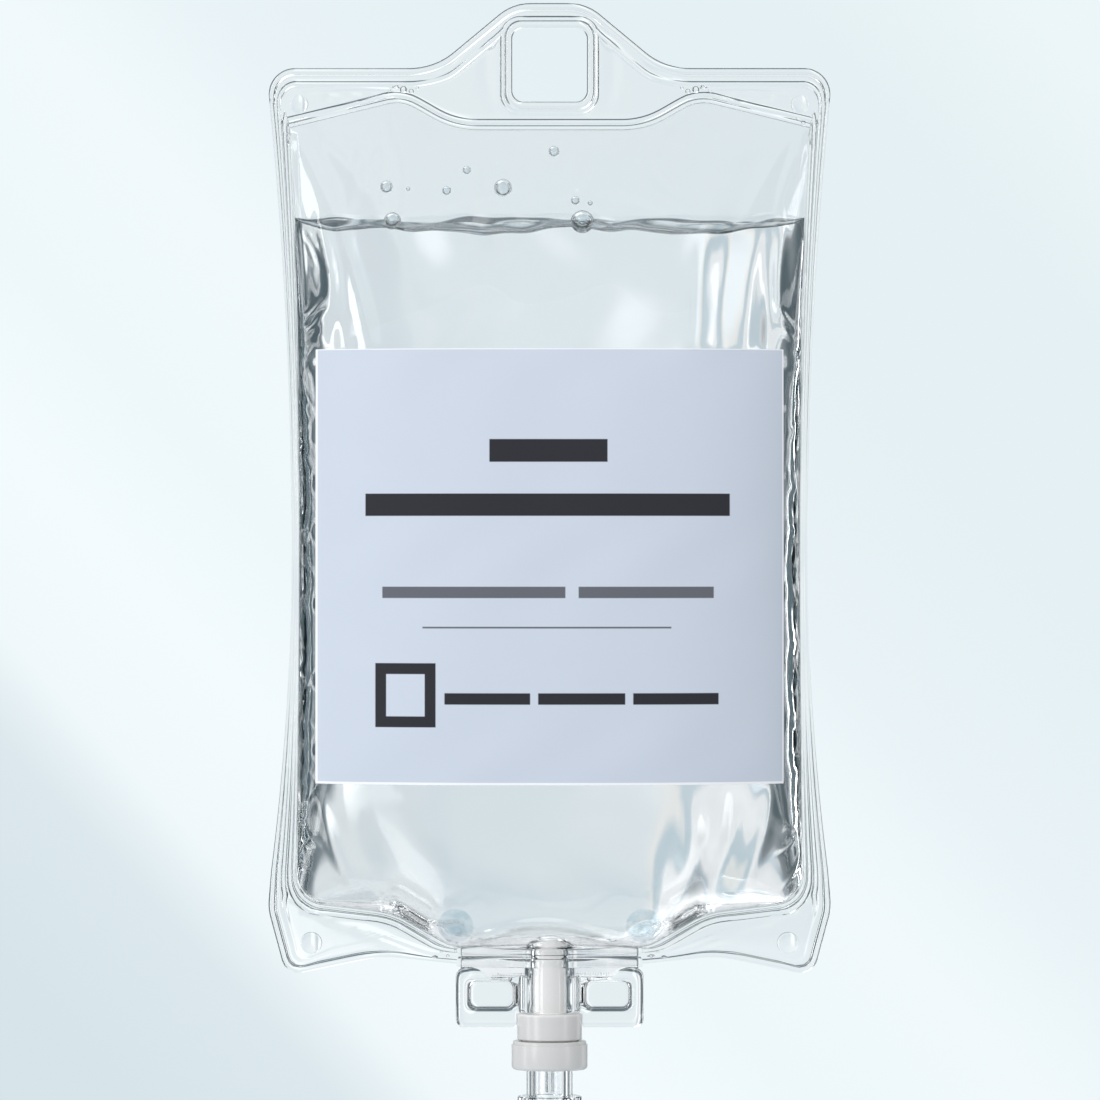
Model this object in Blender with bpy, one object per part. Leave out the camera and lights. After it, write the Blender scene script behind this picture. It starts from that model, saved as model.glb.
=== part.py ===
"""A soft infusion bag for a 500 ml fill, hung by the eye in its top lobe.

The origin is the middle of the eye's upper edge, where the bag hangs. Z is up, the label faces -Y,
and every size is in metres.
"""

import math

import bmesh
import bpy
import numpy as np

MM = 0.001

# Clearances
FIT = 0.3 * MM
FLUID_GAP = 0.5 * MM
FLUID_SEAM_GAP = 1.3 * MM
LABEL_GAP = 0.4 * MM
CUT = 1 * MM

# Edge of the bag, as half widths from the middle and drops below the origin
LOBE_RISE = 5.75 * MM
LOBE_HALF = 8.5 * MM
LOBE_ROUND = 11 * MM
SLOPE_HALF = 26.5 * MM
SLOPE_ROUND = 16 * MM
SHOULDER_HALF = 65.2 * MM
SHOULDER_DROP = 9.2 * MM
SHOULDER_ROUND = 6 * MM
WAIST_HALF = 59.3 * MM
WAIST_DROP = 120 * MM
HIP_HALF = 64.8 * MM
HIP_DROP = 199.5 * MM
HIP_ROUND = 12 * MM
TOE_HALF = 60.6 * MM
TOE_DROP = 218 * MM
TOE_ROUND = 4 * MM
ARCH_HALF = 38.5 * MM
ARCH_DROP = 213.4 * MM
ARCH_ROUND = 25 * MM
CROTCH_DROP = 215.2 * MM
FOOT_FILLET = 4 * MM
FOOT_DROP = 215.9 * MM
FOOT_ROUND = 0.8 * MM

# Film, as half thicknesses from the middle plane
FILM_WALL = 0.4 * MM
EDGE_HALF = 0.5 * MM
BEAD_HALF = 1.05 * MM
SECOND_BEAD_HALF = 0.95 * MM
WEB_HALF = 0.5 * MM
SEAM_HALF = 0.95 * MM
TAB_HALF = 0.7 * MM
BEAD_PITCH = 0.9 * MM
SEAM_PITCH = 0.95 * MM
FLANGE_SPARE = 0.6 * MM

# Hanger eye
EYE_WIDTH = 17.2 * MM
EYE_HEIGHT = 17 * MM
EYE_ROUND = 2.6 * MM
EYE_RIM = 2.7 * MM
EYE_RIM_HALF = 1.35 * MM

# Corner bosses
BOSS_HALF = 0.85 * MM
UPPER_BOSS = (SHOULDER_HALF - 7.6 * MM, SHOULDER_DROP + 8.4 * MM, 2.1 * MM)
LOWER_BOSS = (TOE_HALF - 5.8 * MM, TOE_DROP - 7.6 * MM, 2.5 * MM)
DISC_SPARE = 0.002 * MM

# Chamber between the films
TOP_FLANGE = 5.3 * MM
WAIST_FLANGE = 1.7 * MM
HIP_FLANGE = 6.4 * MM
CHAMBER_TOP_HALF = SHOULDER_HALF - TOP_FLANGE
CHAMBER_WAIST_HALF = WAIST_HALF - WAIST_FLANGE
CHAMBER_FOOT_HALF = HIP_HALF - HIP_FLANGE
CHAMBER_CORNER_DROP = 22.9 * MM
TOP_SEAM_DROP = 23.4 * MM
TOP_SEAM_HALF = 22 * MM
TOP_SEAM_ROUND = 20 * MM
BROW_HALF = 34 * MM
BROW_DROP = 16.6 * MM
BROW_ROUND = 9 * MM
CHAMBER_HIP_DROP = 200.9 * MM
CHAMBER_HIP_ROUND = 7 * MM
HEEL_HALF = 36 * MM
HEEL_DROP = 203.6 * MM
HEEL_ROUND = 20 * MM
FOOT_SEAM_HALF = 22.5 * MM
FOOT_SEAM_DROP = 211.4 * MM
PILLOW_HALF = 20 * MM
PILLOW_FOOT = 45 * MM
SIDE_FULLNESS = 2.6
SIDE_ROUNDNESS = 0.62
TOP_FULLNESS = 2.4
TOP_ROUNDNESS = 0.8
STEEPEST = 2.2
PROBE = 0.2 * MM
PLEATS = 17
PLEAT_RISE = 1.1 * MM
LABEL_MARGIN = 4 * MM
PLEAT_REACH = LABEL_MARGIN - 0.1 * MM
PLEAT_FULLNESS = 0.7
FILL_DROP = 44.6 * MM

# Label
LABEL_WIDTH = 2 * (CHAMBER_WAIST_HALF - LABEL_MARGIN)
LABEL_HEIGHT = 99.4 * MM
LABEL_DROP = 74.1 * MM
LABEL_THICKNESS = 0.25 * MM

# Port: block, tube, stopper, septum, ring
WING_HALF = 21.6 * MM
WING_DROP = 229.8 * MM
WING_HALF_THICKNESS = 2.3 * MM
WING_ROUND = 1.6 * MM
WING_BAR = 2.4 * MM
WING_FOOT_BAR = 3.7 * MM
WING_TOP_BAR = 1.5 * MM
PANEL_HALF_THICKNESS = 0.6 * MM
PANEL_DRAFT = 1.3 * MM
PANEL_ROUND = 1.8 * MM
BOAT_RADIUS = 6.6 * MM
BOAT_TIP_HALF = 20.4 * MM
BOAT_TIP_THICKNESS = 0.5 * MM
BOAT_RISE = 0.1 * MM
TUBE_RADIUS = 7.1 * MM
TUBE_DROP = 226.3 * MM
DOME_RADIUS = 5.4 * MM
DOME_DROP = 207.2 * MM
DOME_HEIGHT = 4 * MM
TUBE_CHAMFER = 0.5 * MM
STEM_RADIUS = 3.7 * MM
STEM_CHAMFER = 1 * MM
STEM_TOP_WALL = 1.4 * MM
COLLAR_RADIUS = 7.45 * MM
COLLAR_HEIGHT = 6 * MM
SPIGOT_RADIUS = 6.4 * MM
SPIGOT_HEIGHT = 2.3 * MM
SEPTUM_THICKNESS = 1.7 * MM
RING_RADIUS = 8.75 * MM
RING_HEIGHT = 6.5 * MM
RING_LIP = 0.7 * MM
RING_LIP_STEP = 0.3 * MM
RING_ROUND = 0.6 * MM

# Spike connector
SPIKE_RADIUS = 2.2 * MM
SPIKE_TIP_RADIUS = 0.95 * MM
SPIKE_TAPER = 6.5 * MM
SPIKE_REACH = 26.5 * MM
LUMEN_RADIUS = 0.55 * MM
NECK_RADIUS = 5.3 * MM
NECK_WALL = 1.5 * MM
NECK_DROP = 6.2 * MM
CROWN_WALL = 1.8 * MM
NOZZLE_RADIUS = 1.05 * MM
NOZZLE_LENGTH = 5.7 * MM
FLANGE_RADIUS = 7.4 * MM
FLANGE_THICKNESS = 2.8 * MM
SOCKET_RADIUS = 3.6 * MM
SOCKET_LENGTH = 7.8 * MM
SOCKET_BORE = 2.05 * MM
OUTLET_RADIUS = 1.5 * MM

# Facets
HALF_COLUMNS = 8
COLUMN_CROWDING = 1.9
ROWS = 2 * PLEATS
ROW_CROWDING = 0.4
TOP_SPLIT = 3
FOOT_SPLIT = 2
SIDE_SPLIT = 0.5
LEAST_LEAN = 0.35
TURNED_STEPS = 20
CORNER_STEPS = 3
LABEL_COLUMNS = 14
LABEL_ROWS = 6
LABEL_TURN = math.radians(85)
DOME_FLAT = math.radians(17)
DOME_RINGS = 5
ARC_STEP = math.radians(9)
SIDE_POINTS = 24

# Places that follow from the sizes
EYE_HALF = EYE_WIDTH / 2
BOAT_TOP = -FOOT_SEAM_DROP + BOAT_RISE
WING_TOP = -FOOT_DROP - FIT
COLLAR_TOP = -TUBE_DROP - FIT
COLLAR_FOOT = COLLAR_TOP - COLLAR_HEIGHT
SPIGOT_FOOT = COLLAR_FOOT - SPIGOT_HEIGHT
SEPTUM_TOP = SPIGOT_FOOT - FIT
SEPTUM_FOOT = SEPTUM_TOP - SEPTUM_THICKNESS
RING_TOP = COLLAR_FOOT - FIT
RING_FOOT = RING_TOP - RING_HEIGHT
HUB_TOP = SEPTUM_FOOT - FIT
NECK_FOOT = RING_FOOT - NECK_DROP
PASSAGE_RADIUS = SPIKE_RADIUS + FIT


def cleared():
    for thing in list(bpy.data.objects):
        bpy.data.objects.remove(thing, do_unlink=True)


def finish(name, color, roughness, metallic=0.0, alpha=1.0):
    """A plain material in the piece's own colour."""
    material = bpy.data.materials.new(name)
    material.use_nodes = True
    shader = material.node_tree.nodes["Principled BSDF"]
    shader.inputs["Base Color"].default_value = (*color, 1)
    shader.inputs["Roughness"].default_value = roughness
    shader.inputs["Metallic"].default_value = metallic
    shader.inputs["Alpha"].default_value = alpha
    material.diffuse_color = (*color, alpha)
    return material


def placed(name, shape, material=None, place=(0, 0, 0)):
    """A bmesh made into an object of the scene. Without a material it is a cutter or a body to join."""
    mesh = bpy.data.meshes.new(name)
    bmesh.ops.recalc_face_normals(shape, faces=shape.faces)
    shape.to_mesh(mesh)
    shape.free()
    thing = bpy.data.objects.new(name, mesh)
    thing.location = place
    bpy.context.scene.collection.objects.link(thing)
    if material is None:
        thing.hide_render = True
        thing.display_type = "WIRE"
    else:
        mesh.materials.append(material)
        mesh.shade_smooth()
        mesh.set_sharp_from_angle(angle=math.radians(35))
    return thing


def combined(thing, operation, *others):
    for other in others:
        boolean = thing.modifiers.new(other.name, "BOOLEAN")
        boolean.operation = operation
        boolean.solver = "EXACT"
        boolean.object = other


def rounded_path(corners):
    """A path through (x, z, radius) corners, each rounded by an arc of its radius."""
    points = [corners[0][:2]]
    for before, corner, after in zip(corners, corners[1:], corners[2:]):
        middle = np.array(corner[:2])
        to_start = np.array(before[:2]) - middle
        to_end = np.array(after[:2]) - middle
        to_start /= np.linalg.norm(to_start)
        to_end /= np.linalg.norm(to_end)
        turn = math.pi - math.acos(np.clip(to_start @ to_end, -1, 1))
        if corner[2] == 0 or turn < 1e-3:
            points.append(tuple(middle))
            continue
        tangent = corner[2] * math.tan(turn / 2)
        start = middle + to_start * tangent
        bisector = to_start + to_end
        centre = middle + bisector / np.linalg.norm(bisector) * math.hypot(tangent, corner[2])
        steps = max(2, math.ceil(turn / ARC_STEP))
        from_centre = start - centre
        side = 1 if to_start[0] * to_end[1] - to_start[1] * to_end[0] < 0 else -1
        for step in range(steps + 1):
            angle = side * turn * step / steps
            cos, sin = math.cos(angle), math.sin(angle)
            points.append((
                centre[0] + from_centre[0] * cos - from_centre[1] * sin,
                centre[1] + from_centre[0] * sin + from_centre[1] * cos,
            ))
    points.append(corners[-1][:2])
    return np.array(points)


def mirrored(half):
    """The path from -X to +X whose right half, middle first, is given."""
    left = half[:0:-1] * (-1, 1)
    return np.vstack([left, half])


def bowed(z, waist, end, waist_z, end_z):
    """A half width that grows with the square of the way from the waist to an end."""
    return waist + (end - waist) * ((z - waist_z) / (end_z - waist_z)) ** 2


def edge_half(z):
    if z > -WAIST_DROP:
        return bowed(z, WAIST_HALF, SHOULDER_HALF, -WAIST_DROP, -SHOULDER_DROP)
    return bowed(z, WAIST_HALF, HIP_HALF, -WAIST_DROP, -HIP_DROP)


def chamber_half(z):
    low, high = -CHAMBER_HIP_DROP + CHAMBER_HIP_ROUND, -CHAMBER_CORNER_DROP
    z = min(max(z, low), high)
    if z > -WAIST_DROP:
        return bowed(z, CHAMBER_WAIST_HALF, CHAMBER_TOP_HALF, -WAIST_DROP, high)
    return bowed(z, CHAMBER_WAIST_HALF, CHAMBER_FOOT_HALF, -WAIST_DROP, low)


def top_edge():
    """The upper edge from the middle of the lobe out, split in two at the shoulder's corner."""
    path = rounded_path([
        (0, LOBE_RISE, 0),
        (LOBE_HALF, LOBE_RISE, LOBE_ROUND),
        (SLOPE_HALF, -SHOULDER_DROP, SLOPE_ROUND),
        (SHOULDER_HALF, -SHOULDER_DROP, SHOULDER_ROUND),
        (edge_half(-SHOULDER_DROP - 2 * SHOULDER_ROUND), -SHOULDER_DROP - 2 * SHOULDER_ROUND, 0),
    ])
    corner = np.argmax(path @ (1, 1))
    return path[:corner + 1], path[corner:]


def side_edge():
    """The right side from the shoulder's corner down to the hip."""
    start = -SHOULDER_DROP - 2 * SHOULDER_ROUND
    heights = np.linspace(start, -HIP_DROP + HIP_ROUND / 2, SIDE_POINTS)
    return np.vstack([top_edge()[1], [(edge_half(z), z) for z in heights[1:]]])


def foot_edge():
    """The lower edge from the middle of the foot to the right hip."""
    hip = -HIP_DROP + HIP_ROUND / 2
    path = rounded_path([
        (edge_half(hip), hip, 0),
        (HIP_HALF, -HIP_DROP - HIP_ROUND / 4, HIP_ROUND),
        (TOE_HALF, -TOE_DROP, TOE_ROUND),
        (ARCH_HALF, -ARCH_DROP, ARCH_ROUND),
        (WING_HALF, -CROTCH_DROP, FOOT_FILLET),
        (0, -CROTCH_DROP, 0),
    ])
    return path[::-1]


def top_seam():
    return rounded_path([
        (0, -TOP_SEAM_DROP, 0),
        (TOP_SEAM_HALF, -TOP_SEAM_DROP, TOP_SEAM_ROUND),
        (BROW_HALF, -BROW_DROP, BROW_ROUND),
        (CHAMBER_TOP_HALF, -CHAMBER_CORNER_DROP, 0),
    ])


def foot_seam():
    return rounded_path([
        (0, -FOOT_SEAM_DROP, 0),
        (FOOT_SEAM_HALF, -FOOT_SEAM_DROP, BROW_ROUND),
        (HEEL_HALF, -HEEL_DROP, HEEL_ROUND),
        (CHAMBER_FOOT_HALF, -CHAMBER_HIP_DROP, CHAMBER_HIP_ROUND),
        (CHAMBER_FOOT_HALF, -CHAMBER_HIP_DROP + CHAMBER_HIP_ROUND, 0),
    ])


TOP_SEAM = top_seam()
FOOT_SEAM = foot_seam()


def top_seam_z(x):
    return np.interp(abs(x), TOP_SEAM[:, 0], TOP_SEAM[:, 1])


def foot_seam_z(x):
    return np.interp(abs(x), FOOT_SEAM[:, 0], FOOT_SEAM[:, 1])


def depth(x, z):
    """Half the chamber's depth: full above the foot, thinning to both sides and up to the top seam."""
    across = max(1 - (abs(x) / chamber_half(z)) ** SIDE_FULLNESS, 0) ** SIDE_ROUNDNESS
    rise = min(max((z - foot_seam_z(x)) / PILLOW_FOOT, 0), 1)
    foot = math.sqrt(1 - (1 - rise) ** 2)
    full_z = -FOOT_SEAM_DROP + PILLOW_FOOT
    climb = min(max((z - full_z) / (top_seam_z(x) - full_z), 0), 1)
    return PILLOW_HALF * across * foot * (1 - climb ** TOP_FULLNESS) ** TOP_ROUNDNESS


def slope_factor(x, z):
    """How much longer a step through the wall is along Y than square to the film."""
    along_x = (depth(x + PROBE, z) - depth(x - PROBE, z)) / (2 * PROBE)
    along_z = (depth(x, z + PROBE) - depth(x, z - PROBE)) / (2 * PROBE)
    return min(math.sqrt(1 + along_x ** 2 + along_z ** 2), STEEPEST)


def column_shares():
    """Signed shares of the half width, closer together towards the side seams."""
    steps = np.arange(HALF_COLUMNS + 1) / HALF_COLUMNS
    inward = 1 - steps ** COLUMN_CROWDING
    return np.concatenate([-inward, inward[-2::-1]])


def row_shares(rows):
    """Shares of the height, closer together at the foot and at the top."""
    even = np.arange(rows + 1) / rows
    return even - ROW_CROWDING * np.sin(2 * math.pi * even) / (2 * math.pi)


def chamber_grid(rows, inset=0.0):
    """Points (x, z) of the chamber, in columns from -X to +X and rows from the foot to the top."""
    grid = []
    for share in column_shares():
        low = foot_seam_z(share * CHAMBER_FOOT_HALF) + inset
        high = top_seam_z(share * CHAMBER_TOP_HALF) - inset
        heights = low + (high - low) * row_shares(rows)
        grid.append([(share * (chamber_half(z) - inset), z) for z in heights])
    return np.array(grid)


def border(grid):
    """Indices of the grid's rim, from the top left corner along the top and round."""
    columns, rows = len(grid) - 1, len(grid[0]) - 1
    top = [(column, rows) for column in range(columns)]
    right = [(columns, row) for row in range(rows, 0, -1)]
    foot = [(column, 0) for column in range(columns, 0, -1)]
    left = [(0, row) for row in range(rows)]
    return top + right + foot + left


def fill_grid(shape, grid):
    for column in range(len(grid) - 1):
        for row in range(len(grid[0]) - 1):
            shape.faces.new((
                grid[column][row], grid[column + 1][row],
                grid[column + 1][row + 1], grid[column][row + 1],
            ))


def pillow(name, rows, inset, half_depth, material=None):
    """A closed cushion on the chamber's outline, its two faces meeting in a sharp rim."""
    shape = bmesh.new()
    grid = chamber_grid(rows, inset)
    rim = set(border(grid))
    faces = {}
    for side in (-1, 1):
        faces[side] = []
        for column, line in enumerate(grid):
            made = []
            for row, (x, z) in enumerate(line):
                on_rim = (column, row) in rim
                if on_rim and side == 1:
                    made.append(faces[-1][column][row])
                else:
                    made.append(shape.verts.new((x, 0 if on_rim else side * half_depth(x, z), z)))
            faces[side].append(made)
        fill_grid(shape, faces[side])
    return placed(name, shape, material)


def lengths_along(path):
    steps = np.linalg.norm(np.diff(path, axis=0), axis=1)
    return np.concatenate([[0], np.cumsum(steps)])


def resampled(path, shares):
    lengths = lengths_along(path)
    at = np.asarray(shares) * lengths[-1]
    return np.column_stack([np.interp(at, lengths, path[:, axis]) for axis in (0, 1)])


def shares_between(points, split):
    """Each point's share of the way along its path: split of them to every step between points."""
    lengths = lengths_along(points) / lengths_along(points)[-1]
    places = np.arange(0, len(points) - 1, 1 / split)
    return np.interp(places, np.arange(len(points)), lengths)


def edge_stations(grid):
    """The bag's edge in step with the chamber's rim: edge points, the rim across from each, the edge
    across from each rim point, and the rim corner that each edge point joins."""
    columns, rows = len(grid) - 1, len(grid[0]) - 1
    sides = (
        (mirrored(top_edge()[0]), grid[:, -1], TOP_SPLIT),
        (side_edge(), grid[-1][::-1], SIDE_SPLIT),
        (mirrored(foot_edge())[::-1], grid[::-1, 0], FOOT_SPLIT),
        (side_edge()[::-1] * (-1, 1), grid[0], SIDE_SPLIT),
    )
    edge, rim_across, edge_across, match = [], [], [], []
    start = 0
    for path, rim, split in sides:
        shares = shares_between(rim, split)
        edge.append(resampled(path, shares))
        rim_across.append(resampled(rim, shares))
        edge_across.append(resampled(path, shares_between(rim, 1)))
        match += [start + round(index / split) for index in range(len(shares))]
        start += len(rim) - 1
    match = [corner % start for corner in match]
    return np.vstack(edge), np.vstack(rim_across), np.vstack(edge_across), match


def inward_normals(ring):
    """Unit normals of a clockwise ring, pointing inwards."""
    along = np.roll(ring, -1, axis=0) - np.roll(ring, 1, axis=0)
    along /= np.linalg.norm(along, axis=1)[:, None]
    return np.column_stack([along[:, 1], -along[:, 0]])


def flange_steps(start, end, normals, pitch):
    """A step of one pitch square to the ring, taken towards the ring's partner, less where room is short."""
    way = end - start
    length = np.linalg.norm(way, axis=1)
    lean = np.maximum(np.einsum("ij,ij->i", way, normals) / length, LEAST_LEAN)
    flange = 4 * BEAD_PITCH + 2 * SEAM_PITCH + FLANGE_SPARE
    scale = np.minimum(length * lean / flange, 1)
    return way * (pitch * scale / lean / length)[:, None]


def bridge(shape, outer, inner, match):
    """Faces between two rings, where match gives the inner point that each outer point joins."""
    for index in range(len(outer)):
        following = (index + 1) % len(outer)
        steps = (match[following] - match[index]) % len(inner)
        back = [inner[(match[index] + step) % len(inner)] for step in range(steps, -1, -1)]
        shape.faces.new([outer[index], outer[following], *back])


def outer_height(x, z, share_up):
    """Half the bag's thickness over the chamber, with the puckers beside its side seams."""
    inwards = (chamber_half(z) - abs(x)) / PLEAT_REACH
    bell = math.sin(math.pi * min(max(inwards, 0), 1)) ** PLEAT_FULLNESS
    fold = abs((share_up * PLEATS) % 1 * 2 - 1)
    return depth(x, z) + FILM_WALL * slope_factor(x, z) + PLEAT_RISE * bell * fold * (share_up < 1)


def envelope_body():
    """The bag as one solid: pillow, seam, web and beaded edge. The chamber is cut from it later."""
    shape = bmesh.new()
    grid = chamber_grid(ROWS)
    edge, rim_across, edge_across, match = edge_stations(grid)
    rim_places = border(grid)
    rim = np.array([grid[place] for place in rim_places])
    bead_step = flange_steps(edge, rim_across, inward_normals(edge), BEAD_PITCH)
    seam_step = flange_steps(rim, edge_across, -inward_normals(rim), SEAM_PITCH)
    beads = (
        (0, EDGE_HALF), (1, BEAD_HALF), (2, WEB_HALF), (3, SECOND_BEAD_HALF), (4, WEB_HALF),
    )
    every_rim = list(range(len(rim)))
    every_edge = list(range(len(edge)))
    row_share = {row: row / ROWS for row in range(ROWS + 1)}
    edges = {}
    for side in (-1, 1):
        rings = []
        for step, height in beads:
            places = edge + step * bead_step
            rings.append([shape.verts.new((x, side * height, z)) for x, z in places])
        for outer, inner in zip(rings, rings[1:]):
            bridge(shape, outer, inner, every_edge)
        seam = [shape.verts.new((x, side * SEAM_HALF, z)) for x, z in rim + seam_step]
        bridge(shape, rings[-1], seam, match)
        top = [
            [
                shape.verts.new((x, side * outer_height(x, z, row_share[row]), z))
                for row, (x, z) in enumerate(line)
            ]
            for line in grid
        ]
        fill_grid(shape, top)
        bridge(shape, seam, [top[column][row] for column, row in rim_places], every_rim)
        edges[side] = rings[0]
    bridge(shape, edges[-1], edges[1], every_edge)
    return shape


def rounded_rectangle(x_low, x_high, z_low, z_high, radius):
    """Points round a rectangle with rounded corners, counter-clockwise."""
    points = []
    corners = (
        (x_high, z_high, 0), (x_low, z_high, 1), (x_low, z_low, 2), (x_high, z_low, 3),
    )
    for x, z, quarter in corners:
        centre_x = x - radius if x == x_high else x + radius
        centre_z = z - radius if z == z_high else z + radius
        for step in range(CORNER_STEPS + 1):
            angle = math.pi / 2 * (quarter + step / CORNER_STEPS)
            points.append((centre_x + radius * math.cos(angle), centre_z + radius * math.sin(angle)))
    return points


def loft(name, sections, material=None):
    """A solid through closed sections with the same number of points, capped at both ends."""
    shape = bmesh.new()
    rings = [[shape.verts.new(point) for point in section] for section in sections]
    for first, second in zip(rings, rings[1:]):
        for index in range(len(first)):
            following = (index + 1) % len(first)
            shape.faces.new((first[index], first[following], second[following], second[index]))
    shape.faces.new(rings[0][::-1])
    shape.faces.new(rings[-1])
    return placed(name, shape, material)


def slab(name, outline, low_y, high_y, material=None):
    """An (x, z) outline extruded along Y."""
    return loft(name, [[(x, y, z) for x, z in outline] for y in (low_y, high_y)], material)


def post(name, outline, low_z, high_z, material=None):
    """An (x, y) outline extruded along Z."""
    return loft(name, [[(x, y, z) for x, y in outline] for z in (low_z, high_z)], material)


def turned(name, profile, material=None, place=(0, 0, 0)):
    """A closed (radius, z) profile spun round the Z axis."""
    shape = bmesh.new()
    points = [shape.verts.new((radius, 0, z)) for radius, z in profile]
    loop = [shape.edges.new(pair) for pair in zip(points, points[1:] + points[:1])]
    bmesh.ops.spin(
        shape, geom=points + loop, axis=(0, 0, 1), cent=(0, 0, 0), angle=2 * math.pi,
        steps=TURNED_STEPS, use_merge=True, use_duplicate=False,
    )
    bmesh.ops.remove_doubles(shape, verts=shape.verts, dist=1e-7)
    return placed(name, shape, material, place)


def stacked(name, rings):
    """A solid body through circles on the Z axis, each given as (radius, z)."""
    turns = np.linspace(0, 2 * math.pi, TURNED_STEPS, endpoint=False)
    return loft(name, [
        [(radius * math.cos(turn), radius * math.sin(turn), z) for turn in turns]
        for radius, z in rings
    ])


def round_bar(name, radius, low_z, high_z):
    return stacked(name, [(radius, low_z), (radius, high_z)])


def boat_outline(grown):
    """The pointed oval of the port's weld boat: a round middle with flat flanks to thin tips."""
    radius = BOAT_RADIUS + grown
    tip_half = BOAT_TIP_HALF + grown
    tip_thickness = BOAT_TIP_THICKNESS + grown
    reach = math.hypot(tip_half, tip_thickness)
    tangent = math.atan2(tip_thickness, tip_half) + math.acos(radius / reach)
    arc = np.linspace(tangent, math.pi - tangent, 7)
    upper = [(tip_half, tip_thickness)]
    upper += [(radius * math.cos(angle), radius * math.sin(angle)) for angle in arc]
    upper += [(-tip_half, tip_thickness)]
    return upper + [(x, -y) for x, y in reversed(upper)]


def film_envelope(material):
    body = placed("film_envelope", envelope_body(), material)
    rim = slab(
        "eye_rim",
        rounded_rectangle(
            -EYE_HALF - EYE_RIM, EYE_HALF + EYE_RIM, -EYE_HEIGHT - EYE_RIM, EYE_RIM,
            EYE_ROUND + EYE_RIM / 2,
        ),
        -EYE_RIM_HALF, EYE_RIM_HALF,
    )
    eye = slab(
        "eye", rounded_rectangle(-EYE_HALF, EYE_HALF, -EYE_HEIGHT, 0, EYE_ROUND),
        -EYE_RIM_HALF - CUT, EYE_RIM_HALF + CUT,
    )
    bosses = []
    for x, drop, radius in (UPPER_BOSS, LOWER_BOSS):
        for side in (-1, 1):
            disc = rounded_rectangle(side * x - radius, side * x + radius, -drop - radius,
                                     -drop + radius, radius - DISC_SPARE)
            bosses.append(slab("boss", disc, -BOSS_HALF, BOSS_HALF))
    tab = slab(
        "foot_tab",
        rounded_rectangle(-WING_HALF, WING_HALF, -FOOT_DROP, -FOOT_SEAM_DROP, FOOT_ROUND),
        -TAB_HALF, TAB_HALF,
    )
    sleeve = post("boat_sleeve", boat_outline(FIT + FILM_WALL), -FOOT_DROP, BOAT_TOP + 2 * CUT)
    sleeve_tube = round_bar(
        "tube_sleeve", TUBE_RADIUS + FIT + FILM_WALL, -FOOT_DROP + CUT / 2, -DOME_DROP,
    )
    chamber = pillow("chamber", PLEATS, 0, depth)
    pocket = post("boat_pocket", boat_outline(FIT), -FOOT_DROP - CUT, BOAT_TOP + FIT)
    tube_pocket = round_bar("tube_pocket", TUBE_RADIUS + FIT, -FOOT_DROP - CUT, -DOME_DROP + FIT)
    combined(body, "UNION", rim, *bosses, tab, sleeve, sleeve_tube)
    combined(body, "DIFFERENCE", eye, chamber, pocket, tube_pocket)
    return body


def infusion_fluid(material):
    def half_depth(x, z):
        return max(depth(x, z) - FLUID_GAP * slope_factor(x, z), FIT / 2)

    fluid = pillow("infusion_fluid", PLEATS, FLUID_SEAM_GAP, half_depth, material)
    air = slab(
        "air_space",
        rounded_rectangle(-SHOULDER_HALF, SHOULDER_HALF, -FILL_DROP, 0, CUT),
        -PILLOW_HALF - CUT, PILLOW_HALF + CUT,
    )
    round_tube = round_bar(
        "fluid_round_tube", TUBE_RADIUS + FIT + FLUID_GAP, -FOOT_DROP, -DOME_DROP + FLUID_GAP,
    )
    combined(fluid, "DIFFERENCE", air, round_tube)
    return fluid


def front_label(material):
    """A thin sheet that lies on the front film, square-cut as seen from the front."""
    shape = bmesh.new()
    turns = np.linspace(-LABEL_TURN, LABEL_TURN, LABEL_COLUMNS + 1)
    across = np.sin(turns) / math.sin(LABEL_TURN)
    sheets = []
    for lift in (LABEL_GAP, LABEL_GAP + LABEL_THICKNESS):
        sheet = []
        for share in across:
            x = share * LABEL_WIDTH / 2
            line = []
            for z in np.linspace(-LABEL_DROP - LABEL_HEIGHT, -LABEL_DROP, LABEL_ROWS + 1):
                height = depth(x, z) + (FILM_WALL + lift) * slope_factor(x, z)
                line.append(shape.verts.new((x, -height, z)))
            sheet.append(line)
        fill_grid(shape, sheet)
        sheets.append([sheet[column][row] for column, row in border(sheet)])
    bridge(shape, sheets[0], sheets[1], list(range(len(sheets[0]))))
    return placed("front_label", shape, material)


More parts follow.
